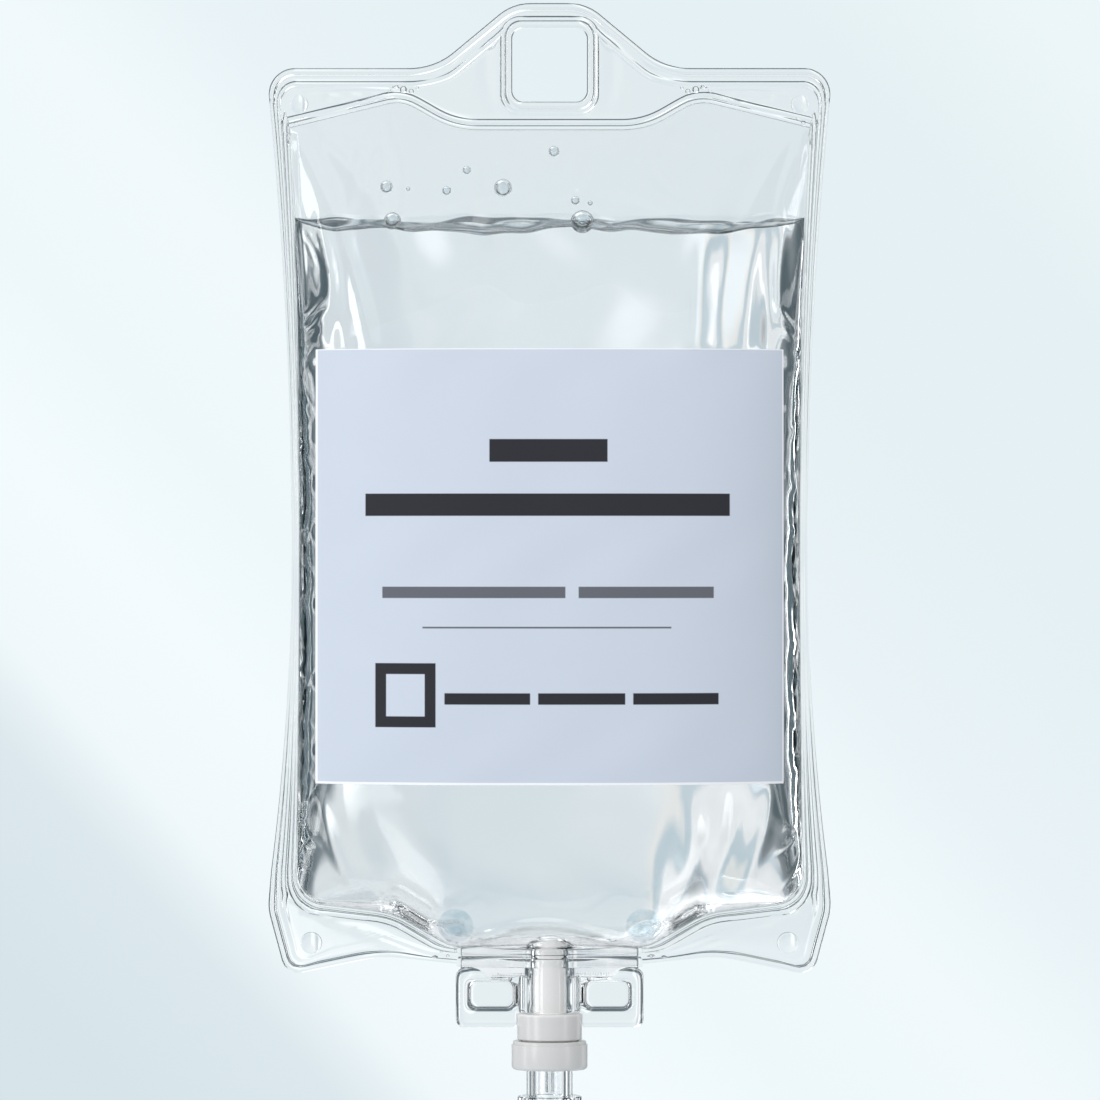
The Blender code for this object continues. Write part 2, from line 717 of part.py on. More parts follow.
def port_block(material):
    """Weld boat, wings with thin dished panels, and the port tube with its domed top, in one moulding."""
    outline = rounded_rectangle(-WING_HALF, WING_HALF, -WING_DROP, WING_TOP, WING_ROUND)
    block = slab("port_block", outline, -WING_HALF_THICKNESS, WING_HALF_THICKNESS, material)
    boat = post("boat", boat_outline(0), WING_TOP - WING_TOP_BAR, BOAT_TOP)
    shoulder = -DOME_DROP - DOME_HEIGHT
    dome = [
        (DOME_RADIUS * math.sin(angle), shoulder + DOME_HEIGHT * math.cos(angle))
        for angle in np.linspace(DOME_FLAT, math.pi / 2, DOME_RINGS)
    ]
    bore = STEM_RADIUS + FIT
    top_room = shoulder + DOME_HEIGHT - STEM_TOP_WALL
    tube = stacked("tube", [
        (TUBE_RADIUS, -TUBE_DROP),
        (TUBE_RADIUS, shoulder - TUBE_CHAMFER),
        (TUBE_RADIUS - TUBE_CHAMFER, shoulder),
        *reversed(dome),
    ])
    hollow = stacked("tube_bore", [
        (bore, -TUBE_DROP - CUT),
        (bore, top_room - STEM_CHAMFER),
        (bore - STEM_CHAMFER, top_room),
        (PASSAGE_RADIUS, top_room),
        (PASSAGE_RADIUS, -DOME_DROP + CUT),
    ])
    collar_room = round_bar("collar_room", COLLAR_RADIUS + FIT, -WING_DROP - CUT, -TUBE_DROP)
    panels = []
    inner, outer = TUBE_RADIUS + FIT, WING_HALF - WING_BAR
    low, high = -WING_DROP + WING_FOOT_BAR, WING_TOP - WING_TOP_BAR / 2
    for side in (-1, 1):
        for face in (-1, 1):
            sections = []
            depths = (PANEL_HALF_THICKNESS, WING_HALF_THICKNESS, WING_HALF_THICKNESS + CUT)
            for half, draft in zip(depths, (PANEL_DRAFT, 0, 0)):
                x_low, x_high = sorted((side * (inner + draft), side * (outer - draft)))
                around = rounded_rectangle(x_low, x_high, low + draft, high - draft, PANEL_ROUND)
                sections.append([(x, face * half, z) for x, z in around])
            panels.append(loft("panel", sections))
    combined(block, "UNION", boat, tube)
    combined(block, "DIFFERENCE", hollow, collar_room, *panels)
    return block


def port_stopper(material):
    """White stem in the tube, with the collar and spigot below it, bored for the spike."""
    stem_top = -DOME_DROP - STEM_TOP_WALL - FIT
    return turned("port_stopper", [
        (PASSAGE_RADIUS, stem_top),
        (STEM_RADIUS - STEM_CHAMFER, stem_top),
        (STEM_RADIUS, stem_top - STEM_CHAMFER),
        (STEM_RADIUS, COLLAR_TOP),
        (COLLAR_RADIUS, COLLAR_TOP),
        (COLLAR_RADIUS, COLLAR_FOOT),
        (SPIGOT_RADIUS, COLLAR_FOOT),
        (SPIGOT_RADIUS, SPIGOT_FOOT),
        (PASSAGE_RADIUS, SPIGOT_FOOT),
    ], material)


def septum(material):
    return turned("septum", [
        (PASSAGE_RADIUS, SEPTUM_TOP),
        (SPIGOT_RADIUS, SEPTUM_TOP),
        (SPIGOT_RADIUS, SEPTUM_FOOT),
        (PASSAGE_RADIUS, SEPTUM_FOOT),
    ], material)


def cap_ring(material):
    """White ring that grips the spigot and the septum, open below for the connector's neck."""
    inside = SPIGOT_RADIUS + FIT
    lip = RING_RADIUS - RING_LIP_STEP
    mouth = NECK_RADIUS + FIT
    return turned("cap_ring", [
        (inside, RING_TOP),
        (lip, RING_TOP),
        (lip, RING_TOP - RING_LIP),
        (RING_RADIUS, RING_TOP - RING_LIP),
        (RING_RADIUS, RING_FOOT + RING_ROUND),
        (RING_RADIUS - RING_ROUND, RING_FOOT),
        (mouth, RING_FOOT),
        (mouth, HUB_TOP),
        (inside, HUB_TOP),
    ], material)


def spike_connector(material):
    """Spike, neck with its drip nozzle, flange and tubing socket. It pulls straight down."""
    room = NECK_RADIUS - NECK_WALL
    crown = -CROWN_WALL
    flange_top = NECK_FOOT - HUB_TOP
    flange_foot = flange_top - FLANGE_THICKNESS
    socket_foot = flange_foot - SOCKET_LENGTH
    floor = flange_top - FLANGE_THICKNESS / 2
    return turned("spike_connector", [
        (SPIKE_TIP_RADIUS, SPIKE_REACH),
        (SPIKE_RADIUS, SPIKE_REACH - SPIKE_TAPER),
        (SPIKE_RADIUS, 0),
        (NECK_RADIUS, 0),
        (NECK_RADIUS, flange_top),
        (FLANGE_RADIUS, flange_top),
        (FLANGE_RADIUS, flange_foot),
        (SOCKET_RADIUS, flange_foot),
        (SOCKET_RADIUS, socket_foot),
        (SOCKET_BORE, socket_foot),
        (SOCKET_BORE, flange_foot),
        (OUTLET_RADIUS, flange_foot),
        (OUTLET_RADIUS, floor),
        (room, floor),
        (room, crown),
        (NOZZLE_RADIUS, crown),
        (NOZZLE_RADIUS, crown - NOZZLE_LENGTH),
        (LUMEN_RADIUS, crown - NOZZLE_LENGTH),
        (LUMEN_RADIUS, SPIKE_REACH),
    ], material, (0, 0, HUB_TOP))


def main():
    cleared()
    film = finish("clear_film", (0.86, 0.91, 0.93), 0.08, alpha=0.35)
    liquid = finish("clear_fluid", (0.80, 0.88, 0.91), 0.02, alpha=0.5)
    paper = finish("label_paper", (0.63, 0.68, 0.77), 0.55)
    moulding = finish("clear_moulding", (0.85, 0.89, 0.91), 0.06, alpha=0.5)
    white = finish("white_plastic", (0.88, 0.88, 0.87), 0.35)
    rubber = finish("grey_rubber", (0.42, 0.43, 0.44), 0.7)
    pieces = (
        film_envelope(film),
        infusion_fluid(liquid),
        front_label(paper),
        port_block(moulding),
        port_stopper(white),
        septum(rubber),
        cap_ring(white),
        spike_connector(moulding),
    )
    hanging_point = bpy.data.objects.new("hanging_point", None)
    bpy.context.scene.collection.objects.link(hanging_point)
    for piece in pieces:
        piece.parent = hanging_point


main()
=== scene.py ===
# %% [markdown]
# # A clear infusion bag, hung by its eye
#
# The real bag is two clear films welded together round a chamber of fluid. It hangs by an eye in
# its top lobe, and a moulded port with two finger wings closes its foot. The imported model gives
# every piece its place and size, and this script dresses it. All shapes are worked out in
# millimetres and become metres only when a mesh is made.

import math

import bmesh
import bpy
import numpy as np
from mathutils import Matrix, Vector


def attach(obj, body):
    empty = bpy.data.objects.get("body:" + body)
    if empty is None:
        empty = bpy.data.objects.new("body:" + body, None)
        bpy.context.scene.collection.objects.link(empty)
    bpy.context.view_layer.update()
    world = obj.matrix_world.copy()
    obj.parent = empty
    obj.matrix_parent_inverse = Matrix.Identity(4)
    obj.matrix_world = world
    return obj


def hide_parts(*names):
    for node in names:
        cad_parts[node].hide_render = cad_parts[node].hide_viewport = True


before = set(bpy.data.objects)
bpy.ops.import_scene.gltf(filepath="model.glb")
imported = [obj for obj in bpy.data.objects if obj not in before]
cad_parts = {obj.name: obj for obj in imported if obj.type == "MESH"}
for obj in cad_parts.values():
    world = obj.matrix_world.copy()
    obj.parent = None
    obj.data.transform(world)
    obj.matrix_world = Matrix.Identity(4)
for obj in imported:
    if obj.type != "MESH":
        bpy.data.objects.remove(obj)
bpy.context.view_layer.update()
MM = 0.001
scene = bpy.context.scene
print("nodes:", sorted(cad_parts))

# %% [markdown]
# ## Camera
#
# The bag is seen square from the front. A near camera would enlarge the bulge against the flat
# edge, so this one stands 1.6 m away with a long lens, which keeps the outline as it is. The view
# is centred on the middle of the bag's height and ends at the foot of the connector's neck.

# %% Camera
CAMERA_AWAY = 1.6
VIEW_WIDTH = 0.253
VIEW_CENTRE = (0.0001, -0.12006)
SENSOR = 36

lens = bpy.data.cameras.new("camera")
lens.sensor_width = SENSOR
lens.lens = SENSOR * CAMERA_AWAY / VIEW_WIDTH
camera = bpy.data.objects.new("camera", lens)
camera.location = (VIEW_CENTRE[0], -CAMERA_AWAY, VIEW_CENTRE[1])
camera.rotation_euler = (math.radians(90), 0, 0)
scene.collection.objects.link(camera)
scene.camera = camera
scene.view_settings.view_transform = "Standard"
print("lens in mm:", round(lens.lens, 1))

# %% [markdown]
# ## A short way to write shader maths
#
# A finish is a network of nodes, and nodes that are added one by one are hard to read as code. A
# node group could hide them, but it would hide the sums as well. Here one small class stands for an
# output socket instead, so that ordinary expressions such as 1 - mask add the Math nodes
# themselves, and every other node comes from one function.


# %% Shader helper
class Value:
    """One output of a node tree that takes part in Python expressions."""

    def __init__(self, tree, socket):
        self.tree = tree
        self.socket = socket

    def math(self, operation, *others):
        numbers = enumerate((self, *others))
        return node(self.tree, "ShaderNodeMath", 0, {"operation": operation}, numbers)

    def __add__(self, other):
        return self.math("ADD", other)

    def __mul__(self, other):
        return self.math("MULTIPLY", other)

    def __sub__(self, other):
        return self.math("SUBTRACT", other)

    def __rsub__(self, other):
        return self * -1 + other

    def __truediv__(self, other):
        return self.math("DIVIDE", other)

    def __pow__(self, other):
        return self.math("POWER", other)

    def __abs__(self):
        return self.math("ABSOLUTE")

    __radd__ = __add__
    __rmul__ = __mul__

    def ramp(self, low, high):
        """0 below low and 1 above high, with a smooth climb between them."""
        return node(self.tree, "ShaderNodeMapRange", "Result", {"interpolation_type": "SMOOTHSTEP"},
                    Value=self, From_Min=low, From_Max=high)

    def mix(self, first, second):
        """The first colour where this is 0, the second where it is 1."""
        return node(self.tree, "ShaderNodeMix", 2, {"data_type": "RGBA"},
                    ((0, self), (6, first), (7, second)))

    def blended(self, kind, other):
        settings = {"data_type": "RGBA", "blend_type": kind, "clamp_result": False}
        return node(self.tree, "ShaderNodeMix", 2, settings, ((0, 1), (6, self), (7, other)))

    def tint(self, colour):
        """This colour times another one."""
        return self.blended("MULTIPLY", colour)

    def plus(self, value):
        """This colour and a grey value or another colour together."""
        return self.blended("ADD", value)


def connect(tree, slot, value):
    """Links an output to a socket, or sets the socket's own value."""
    if isinstance(value, Value):
        tree.links.new(value.socket, slot)
    elif isinstance(value, tuple) and len(value) == 3 and slot.type == "RGBA":
        slot.default_value = (*value, 1)
    else:
        slot.default_value = value


def place_stops(ramp, stops):
    """Gives a colour ramp its (place, colour) stops."""
    while len(ramp.elements) < len(stops):
        ramp.elements.new(0.5)
    for element, (place, colour) in zip(ramp.elements, stops):
        element.position = place
        element.color = colour


def node(tree, kind, output=0, settings=None, sockets=(), **inputs):
    """Any other node: its settings first, then the values or links of sockets by number or name."""
    made = tree.nodes.new(kind)
    for name, value in (settings or {}).items():
        if name == "stops":
            place_stops(made.color_ramp, value)
        else:
            setattr(made, name, value)
    for number, value in sockets:
        connect(tree, made.inputs[number], value)
    for name, value in inputs.items():
        connect(tree, made.inputs[name.replace("_", " ")], value)
    if isinstance(output, tuple):
        return tuple(Value(tree, made.outputs[which]) for which in output)
    return Value(tree, made.outputs[output])


# %% Colours and materials
def srgb(red, green, blue):
    """A colour given as 0 to 255 on the screen, in the linear values that shaders use."""
    parts = (red / 255, green / 255, blue / 255)
    return tuple(p / 12.92 if p <= 0.04045 else ((p + 0.055) / 1.055) ** 2.4 for p in parts)


def material(name, **inputs):
    """A new Principled material, with constant inputs set straight on its sockets."""
    made = bpy.data.materials.new(name)
    made.use_nodes = True
    shader = made.node_tree.nodes["Principled BSDF"]
    for key, value in inputs.items():
        connect(made.node_tree, shader.inputs[key.replace("_", " ")], value)
    return made


def clear(name, tint, roughness, ior):
    """A clear material that lets the light of lamps and of matt surfaces pass straight through."""
    made = material(name, Base_Color=tint, Roughness=roughness, IOR=ior, Transmission_Weight=1.0)
    tree = made.node_tree
    shadow, diffuse = node(tree, "ShaderNodeLightPath", ("Is Shadow Ray", "Is Diffuse Ray"))
    plastic = Value(tree, tree.nodes["Principled BSDF"].outputs[0])
    passing = node(tree, "ShaderNodeBsdfTransparent", Color=(1, 1, 1))
    mixed = node(tree, "ShaderNodeMixShader", sockets=(
        (0, shadow.math("MAXIMUM", diffuse)), (1, plastic), (2, passing)))
    connect(tree, tree.nodes["Material Output"].inputs["Surface"], mixed)
    return made


print("middle grey on the screen is", round(srgb(128, 128, 128)[0], 3), "in linear light")


# %% Places and patterns
def position(tree):
    """The place on the piece in metres, whole and as x, y and z values."""
    place = node(tree, "ShaderNodeTexCoord", "Object")
    return place, *node(tree, "ShaderNodeSeparateXYZ", (0, 1, 2), Vector=place)


def noise(tree, place, scale, detail=2.0, stretch=(1, 1, 1)):
    """A cloudy pattern from 0 to 1."""
    mapped = node(tree, "ShaderNodeMapping", Vector=place, Scale=stretch)
    return node(tree, "ShaderNodeTexNoise", "Fac", Vector=mapped, Scale=scale, Detail=detail)


def bumped(made, height, distance, strength=1.0):
    """Adds a bump of the given height field, in metres, to a material."""
    tree = made.node_tree
    bump = node(tree, "ShaderNodeBump", "Normal", Height=height, Distance=distance,
                Strength=strength)
    connect(tree, tree.nodes["Principled BSDF"].inputs["Normal"], bump)


# %% [markdown]
# ## Light and surroundings
#
# A clear thing is drawn by what is seen through it. Photographers put a bright field behind it
# and dark cards beside it: rays that pass straight show the field, and rays that a curved wall
# bends far sideways show the cards, which draws every edge as a grey line. The field and the cards
# could be modelled, but they would also stand in every other view. Here the world does their
# work, with colours placed by the direction of a ray:
#
# - FIELD is what the camera sees behind the bag: nearly white, in broad slanting bands.
# - ROUNDABOUT is the ring of pale and dark cards, by the angle away from straight behind the bag.
# - THROUGH tints that ring from left to right. Its two faint bands give the film its soft stripes.
# - UNDERNEATH is what lies below, which the curved foot of the bag shows.
# - ROOM is the wall behind the camera, and only reflections show it.
# - STRIPS are light panels and soft glows: where each one is, the way across it, its half width,
#   its reach along the way, and its strength. They make the highlights.
#
# Matt surfaces see none of this. They get one even light, so that the label keeps its own colour.

# %% Colours of the surroundings
MATT_LIGHT = 0.452
VIEW_SPREAD = VIEW_WIDTH / CAMERA_AWAY / 2
FIELD_TILT = 1.06
FIELD = (
    (-1.8, (215, 228, 234)), (-1.4, (220, 232, 237)), (-1.2, (240, 248, 251)),
    (-0.85, (243, 251, 254)), (-0.5, (238, 247, 250)), (-0.05, (241, 249, 252)),
    (0.35, (233, 243, 247)), (0.9, (229, 240, 244)), (1.45, (229, 240, 244)),
    (1.9, (236, 246, 248)),
)
ROUNDABOUT = (
    (0.14, (255, 255, 255)), (0.22, (244, 247, 248)), (0.28, (254, 255, 255)),
    (0.33, (246, 247, 248)), (0.37, (148, 155, 159)), (0.44, (96, 108, 113)),
    (0.59, (88, 98, 103)), (0.65, (236, 239, 240)), (0.71, (226, 231, 233)),
    (0.77, (98, 116, 123)), (0.88, (78, 98, 106)), (1.0, (70, 92, 100)),
)
THROUGH = (
    (-0.36, (255, 255, 255)), (-0.338, (251, 253, 254)), (-0.322, (214, 227, 234)),
    (-0.303, (216, 228, 235)), (-0.285, (252, 254, 255)), (-0.195, (255, 255, 255)),
    (-0.178, (219, 231, 237)), (-0.135, (212, 226, 233)), (-0.115, (252, 252, 249)),
    (-0.07, (240, 247, 250)), (-0.03, (238, 246, 249)), (0.0, (236, 245, 248)),
    (0.12, (232, 241, 246)), (0.22, (244, 249, 251)), (0.5, (246, 250, 252)),
)
UNDERNEATH = (
    (0.55, (236, 240, 242)), (0.64, (232, 237, 239)), (0.69, (134, 149, 157)),
    (0.75, (150, 163, 170)), (0.78, (236, 240, 242)), (0.84, (228, 233, 236)),
    (0.87, (150, 163, 171)), (0.91, (138, 154, 162)), (0.94, (224, 230, 233)),
    (0.97, (216, 223, 227)), (1.0, (150, 163, 171)),
)
ROOM = (104, 119, 125)
UPWARD_SHARE = 0.45
STRIPS = (
    ((-0.70, -0.64, 0.30), (0.67, -0.74, 0.0), 0.15, 0.80, 4.5),
    ((0.82, -0.50, 0.25), (0.52, 0.85, 0.0), 0.08, 0.75, 3.0),
    ((-0.30, 0.60, 0.74), (0.89, 0.45, 0.0), 0.30, 0.85, 0.7),
    ((-0.97, -0.15, 0.15), (0.15, -0.97, 0.0), 0.10, 0.80, 3.0),
    ((-0.065, 0.86, -0.5), (1.0, 0.065, 0.0), 0.055, 0.82, 0.20),
    ((-0.22, 0.97, 0.0), (0.97, 0.22, 0.0), 0.06, 0.80, 0.06),
    ((-0.83, 0.55, 0.10), (0.55, 0.83, 0.0), 0.05, 0.50, 1.4),
    ((0.83, 0.55, 0.10), (0.55, -0.83, 0.0), 0.10, 0.50, 1.7),
)
print("colour stops:", len(FIELD) + len(ROUNDABOUT) + len(THROUGH) + len(UNDERNEATH))


# %% World
def stops(tree, value, low, high, colours):
    """A ramp of screen colours placed at values from low to high."""
    placed = [((place - low) / (high - low), (*srgb(*colour), 1)) for place, colour in colours]
    return node(tree, "ShaderNodeValToRGB", 0, {"stops": placed}, Fac=(value - low) / (high - low))


world = bpy.data.worlds.new("pale_studio")
scene.world = world
world.use_nodes = True
world.cycles.sampling_method = "NONE"
tree = world.node_tree
tree.nodes.clear()
direction = node(tree, "ShaderNodeTexCoord", "Generated")
dir_x, dir_y, dir_z = node(tree, "ShaderNodeSeparateXYZ", (0, 1, 2), Vector=direction)
is_camera, is_diffuse, mirrors = node(
    tree, "ShaderNodeLightPath", ("Is Camera Ray", "Is Diffuse Ray", "Glossy Depth"))
field = stops(tree, (dir_z + dir_x * FIELD_TILT) / VIEW_SPREAD, -2, 2, FIELD)

# A ray that climbs counts as nearer to the middle, because the light comes from above.
off_axis = (dir_x * dir_x + dir_z * dir_z).math("SQRT")
off_axis = off_axis * (1 - dir_z.ramp(0.1, 0.6) * (1 - UPWARD_SHARE))
around = stops(tree, off_axis, 0, 1, ROUNDABOUT).tint(stops(tree, dir_x, -0.6, 0.6, THROUGH))

# Only steep rays that are bent far away from straight behind show what lies below.
below = dir_z * -1
low_rays = below.ramp(0.5, 0.62) * (1 - dir_y.ramp(0.45, 0.65))
around = low_rays.mix(around, stops(tree, below, 0, 1, UNDERNEATH))
behind = (dir_y * -1).ramp(0, 0.35) * (1 - dir_z.ramp(0.05, 0.4)) * mirrors.math("MINIMUM", 1)
around = behind.mix(around, srgb(*ROOM))
around = dir_z.ramp(0.55, 0.8).mix(around, srgb(250, 252, 254))
for aim, across, half_width, reach, strength in STRIPS:
    along, beside = (dir_x * v[0] + dir_y * v[1] + dir_z * v[2] for v in (aim, across))
    glow = (half_width - abs(beside)).ramp(0, 0.04) * along.ramp(reach, reach + 0.1) * strength
    around = around.plus(glow)

seen = is_camera.mix(around, field)
lit = is_diffuse.mix(seen, (MATT_LIGHT, MATT_LIGHT, MATT_LIGHT))
background = node(tree, "ShaderNodeBackground", Color=lit)
node(tree, "ShaderNodeOutputWorld", (), Surface=background)
print("world:", len(tree.nodes), "nodes,", len(STRIPS), "strips of light")

# %% [markdown]
# ## Floor and lamps
#
# The bag hangs, so the floor is only a pale disc well below it. Films and highlights would show its
# rim as a stray line, so rays through clear pieces and mirrored rays miss it. Four softboxes, the
# strongest at the left, round off the matt pieces.

# %% Floor
FLOOR_Z = -0.42
FLOOR_RADIUS = 0.5

floor_shape = bmesh.new()
bmesh.ops.create_circle(floor_shape, cap_ends=True, segments=96, radius=FLOOR_RADIUS)
floor_mesh = bpy.data.meshes.new("floor")
floor_shape.to_mesh(floor_mesh)
floor_shape.free()
floor_mesh.transform(Matrix.Translation((0, 0, FLOOR_Z)))
floor = bpy.data.objects.new("floor", floor_mesh)
scene.collection.objects.link(floor)
floor_mesh.materials.append(material("pale_floor", Base_Color=srgb(232, 240, 244), Roughness=0.8))
floor.visible_transmission = False
floor.visible_glossy = False
print("floor at", FLOOR_Z, "m")


# %% Lamps
MIDDLE = (0, 0, -0.12)
# Each lamp: its name, place, target, width, height and power.
SOFTBOXES = (
    ("left_softbox", (-0.9, -1.0, 0.35), MIDDLE, 0.35, 0.9, 8.9),
    ("side_softbox", (-1.3, -0.3, -0.1), (0, 0, -0.2), 0.3, 0.7, 3.6),
    ("right_softbox", (1.1, -0.8, 0.2), MIDDLE, 0.2, 0.9, 4.6),
    ("top_softbox", (0, -0.3, 1.0), MIDDLE, 0.9, 0.5, 2.4),
)


def softbox(name, place, target, width, height, power):
    """A rectangular lamp that lights its target and does not show in mirrors or through films."""
    light = bpy.data.lights.new(name, "AREA")
    light.shape = "RECTANGLE"
    light.size = width
    light.size_y = height
    light.energy = power
    lamp = bpy.data.objects.new(name, light)
    scene.collection.objects.link(lamp)
    aim = Vector(target) - Vector(place)
    lamp.rotation_euler = aim.to_track_quat("-Z", "Y").to_euler()
    lamp.location = place
    lamp.visible_glossy = False
    lamp.visible_transmission = False


for lamp in SOFTBOXES:
    softbox(*lamp)

# %% [markdown]
# ## Outlines
#
# The bag has two outlines: the outer edge of the film, and the rim of the chamber where the two
# films part. Each could be a curve drawn by hand, but then the films, the edge and the fluid would
# drift apart. Here both come from a few named corners with rounding radii, the same that the solids
# were made with, and every piece follows them.

# %% Sizes in millimetres
# HALF is measured from the middle, DROP down from the eye's upper edge, and ROUND is a radius.
LOBE_RISE, LOBE_HALF, LOBE_ROUND = 5.75, 8.5, 11
SLOPE_HALF, SLOPE_ROUND = 26.5, 16
SHOULDER_HALF, SHOULDER_DROP, SHOULDER_ROUND = 65.2, 9.2, 6
WAIST_HALF, WAIST_DROP = 59.3, 120
HIP_HALF, HIP_DROP, HIP_ROUND = 64.8, 199.5, 12
TOE_HALF, TOE_DROP, TOE_ROUND = 60.6, 218, 4
ARCH_HALF, ARCH_DROP, ARCH_ROUND = 38.5, 213.4, 25
WING_HALF, CROTCH_DROP = 21.6, 215.2
TOP_HALF, MIDDLE_HALF, FOOT_HALF = 59.9, 57.6, 58.4
CORNER_DROP, TOP_SEAM_DROP, TOP_SEAM_HALF, TOP_SEAM_ROUND = 22.9, 23.4, 22, 20
BROW_HALF, BROW_DROP, BROW_ROUND = 34, 16.6, 9
CHAMBER_HIP_DROP, CHAMBER_HIP_ROUND = 200.9, 7
HEEL_HALF, HEEL_DROP, HEEL_ROUND = 36, 203.6, 20
FOOT_SEAM_HALF, FOOT_SEAM_DROP = 22.5, 211.4
ARC_STEP = math.radians(3)
print("chamber:", 2 * MIDDLE_HALF, "mm wide at its waist,", 2 * TOP_HALF, "mm at its top")


# %% Rounded paths
def rounded_path(corners):
    """A path through (x, z, radius) corners, each rounded by an arc of its radius."""
    points = [np.array(corners[0][:2], float)]
    for before, corner, after in zip(corners, corners[1:], corners[2:]):
        middle = np.array(corner[:2], float)
        to_start = np.array(before[:2]) - middle
        to_end = np.array(after[:2]) - middle
        to_start /= np.linalg.norm(to_start)
        to_end /= np.linalg.norm(to_end)
        turn = math.pi - math.acos(np.clip(to_start @ to_end, -1, 1))
        if corner[2] == 0 or turn < 1e-3:
            points.append(middle)
            continue
        tangent = corner[2] * math.tan(turn / 2)
        bisector = to_start + to_end
        centre = middle + bisector / np.linalg.norm(bisector) * math.hypot(tangent, corner[2])
        spoke = middle + to_start * tangent - centre
        side = 1 if to_start[0] * to_end[1] - to_start[1] * to_end[0] < 0 else -1
        steps = max(2, math.ceil(turn / ARC_STEP))
        for angle in np.linspace(0, side * turn, steps + 1):
            cos, sin = math.cos(angle), math.sin(angle)
            turned_spoke = (spoke[0] * cos - spoke[1] * sin, spoke[0] * sin + spoke[1] * cos)
            points.append(centre + turned_spoke)
    points.append(np.array(corners[-1][:2], float))
    return np.array(points)


def mirrored(half):
    """The whole path from -X to +X, from its right half with the middle first."""
    return np.vstack([half[:0:-1] * (-1, 1), half])


def bowed(z, waist, end, end_z):
    """A half width that grows from the waist to one end."""
    return waist + (end - waist) * ((z + WAIST_DROP) / (end_z + WAIST_DROP)) ** 2


def edge_half(z):
    """Half the width of the film's outer edge at a height."""
    above = bowed(z, WAIST_HALF, SHOULDER_HALF, -SHOULDER_DROP)
    below = bowed(z, WAIST_HALF, HIP_HALF, -HIP_DROP)
    return np.where(z > -WAIST_DROP, above, below)


def chamber_half(z):
    """Half the width of the chamber at a height."""
    low, high = -CHAMBER_HIP_DROP + CHAMBER_HIP_ROUND, -CORNER_DROP
    z = np.clip(z, low, high)
    above = bowed(z, MIDDLE_HALF, TOP_HALF, high)
    below = bowed(z, MIDDLE_HALF, FOOT_HALF, low)
    return np.where(z > -WAIST_DROP, above, below)


# %% Outline paths
start = -SHOULDER_DROP - 2 * SHOULDER_ROUND
hip = -HIP_DROP + HIP_ROUND / 2
top_path = rounded_path([
    (0, LOBE_RISE, 0),
    (LOBE_HALF, LOBE_RISE, LOBE_ROUND),
    (SLOPE_HALF, -SHOULDER_DROP, SLOPE_ROUND),
    (SHOULDER_HALF, -SHOULDER_DROP, SHOULDER_ROUND),
    (float(edge_half(start)), start, 0),
])
shoulder = int(np.argmax(top_path @ (1, 1)))
side_heights = np.linspace(start, hip, 90)[1:]
side_line = np.column_stack([edge_half(side_heights), side_heights])
side_path = np.vstack([top_path[shoulder:], side_line])
top_path = top_path[:shoulder + 1]
foot_path = rounded_path([
    (float(edge_half(hip)), hip, 0),
    (HIP_HALF, -HIP_DROP - HIP_ROUND / 4, HIP_ROUND),
    (TOE_HALF, -TOE_DROP, TOE_ROUND),
    (ARCH_HALF, -ARCH_DROP, ARCH_ROUND),
    (WING_HALF, -CROTCH_DROP, 4),
    (0, -CROTCH_DROP, 0),
])[::-1]
top_seam = rounded_path([
    (0, -TOP_SEAM_DROP, 0),
    (TOP_SEAM_HALF, -TOP_SEAM_DROP, TOP_SEAM_ROUND),
    (BROW_HALF, -BROW_DROP, BROW_ROUND),
    (TOP_HALF, -CORNER_DROP, 0),
])
foot_seam = rounded_path([
    (0, -FOOT_SEAM_DROP, 0),
    (FOOT_SEAM_HALF, -FOOT_SEAM_DROP, BROW_ROUND),
    (HEEL_HALF, -HEEL_DROP, HEEL_ROUND),
    (FOOT_HALF, -CHAMBER_HIP_DROP, CHAMBER_HIP_ROUND),
    (FOOT_HALF, -CHAMBER_HIP_DROP + CHAMBER_HIP_ROUND, 0),
])


def top_line(x):
    """The height of the chamber's top seam."""
    return np.interp(np.abs(x), top_seam[:, 0], top_seam[:, 1])


def foot_line(x):
    """The height of the chamber's foot seam."""
    return np.interp(np.abs(x), foot_seam[:, 0], foot_seam[:, 1])


print("edge:", round(2 * side_path[:, 0].max(), 1), "mm wide")

# %% [markdown]
# ## The pillow and its wrinkles
#
# Film that is welded flat and then filled has to lose length at its sides, so it puckers there, and
# long folds run out of its corners. A cloth simulation could blow the bag up, but its folds would
# fall where the solver puts them, and the fluid would have to be fitted into them. Here the pillow
# is a formula, and each fold is a soft stroke on it: a short curve, a width and a height. So every
# fold lies where the real one does, and the fluid takes the same folds as the film.

# %% Pillow
PILLOW_HALF, PILLOW_FOOT = 20, 45
FULL_Z = -FOOT_SEAM_DROP + PILLOW_FOOT
STEEPEST = 2.2


def depth(x, z):
    """Half the chamber's depth, without its folds."""
    share = np.clip(np.abs(x) / chamber_half(z), 0, 1)
    across = (1 - share ** 2.6) ** 0.62
    rise = np.clip((z - foot_line(x)) / PILLOW_FOOT, 0, 1)
    foot = np.sqrt(1 - (1 - rise) ** 2)
    climb = np.clip((z - FULL_Z) / (top_line(x) - FULL_Z), 0, 1)
    return PILLOW_HALF * across * foot * (1 - climb ** 2.4) ** 0.8


def slope_factor(x, z):
    """How much thicker a wall is from front to back where it leans."""
    probe = 0.2
    along_x = (depth(x + probe, z) - depth(x - probe, z)) / (2 * probe)
    along_z = (depth(x, z + probe) - depth(x, z - probe)) / (2 * probe)
    return np.minimum(np.sqrt(1 + along_x ** 2 + along_z ** 2), STEEPEST)


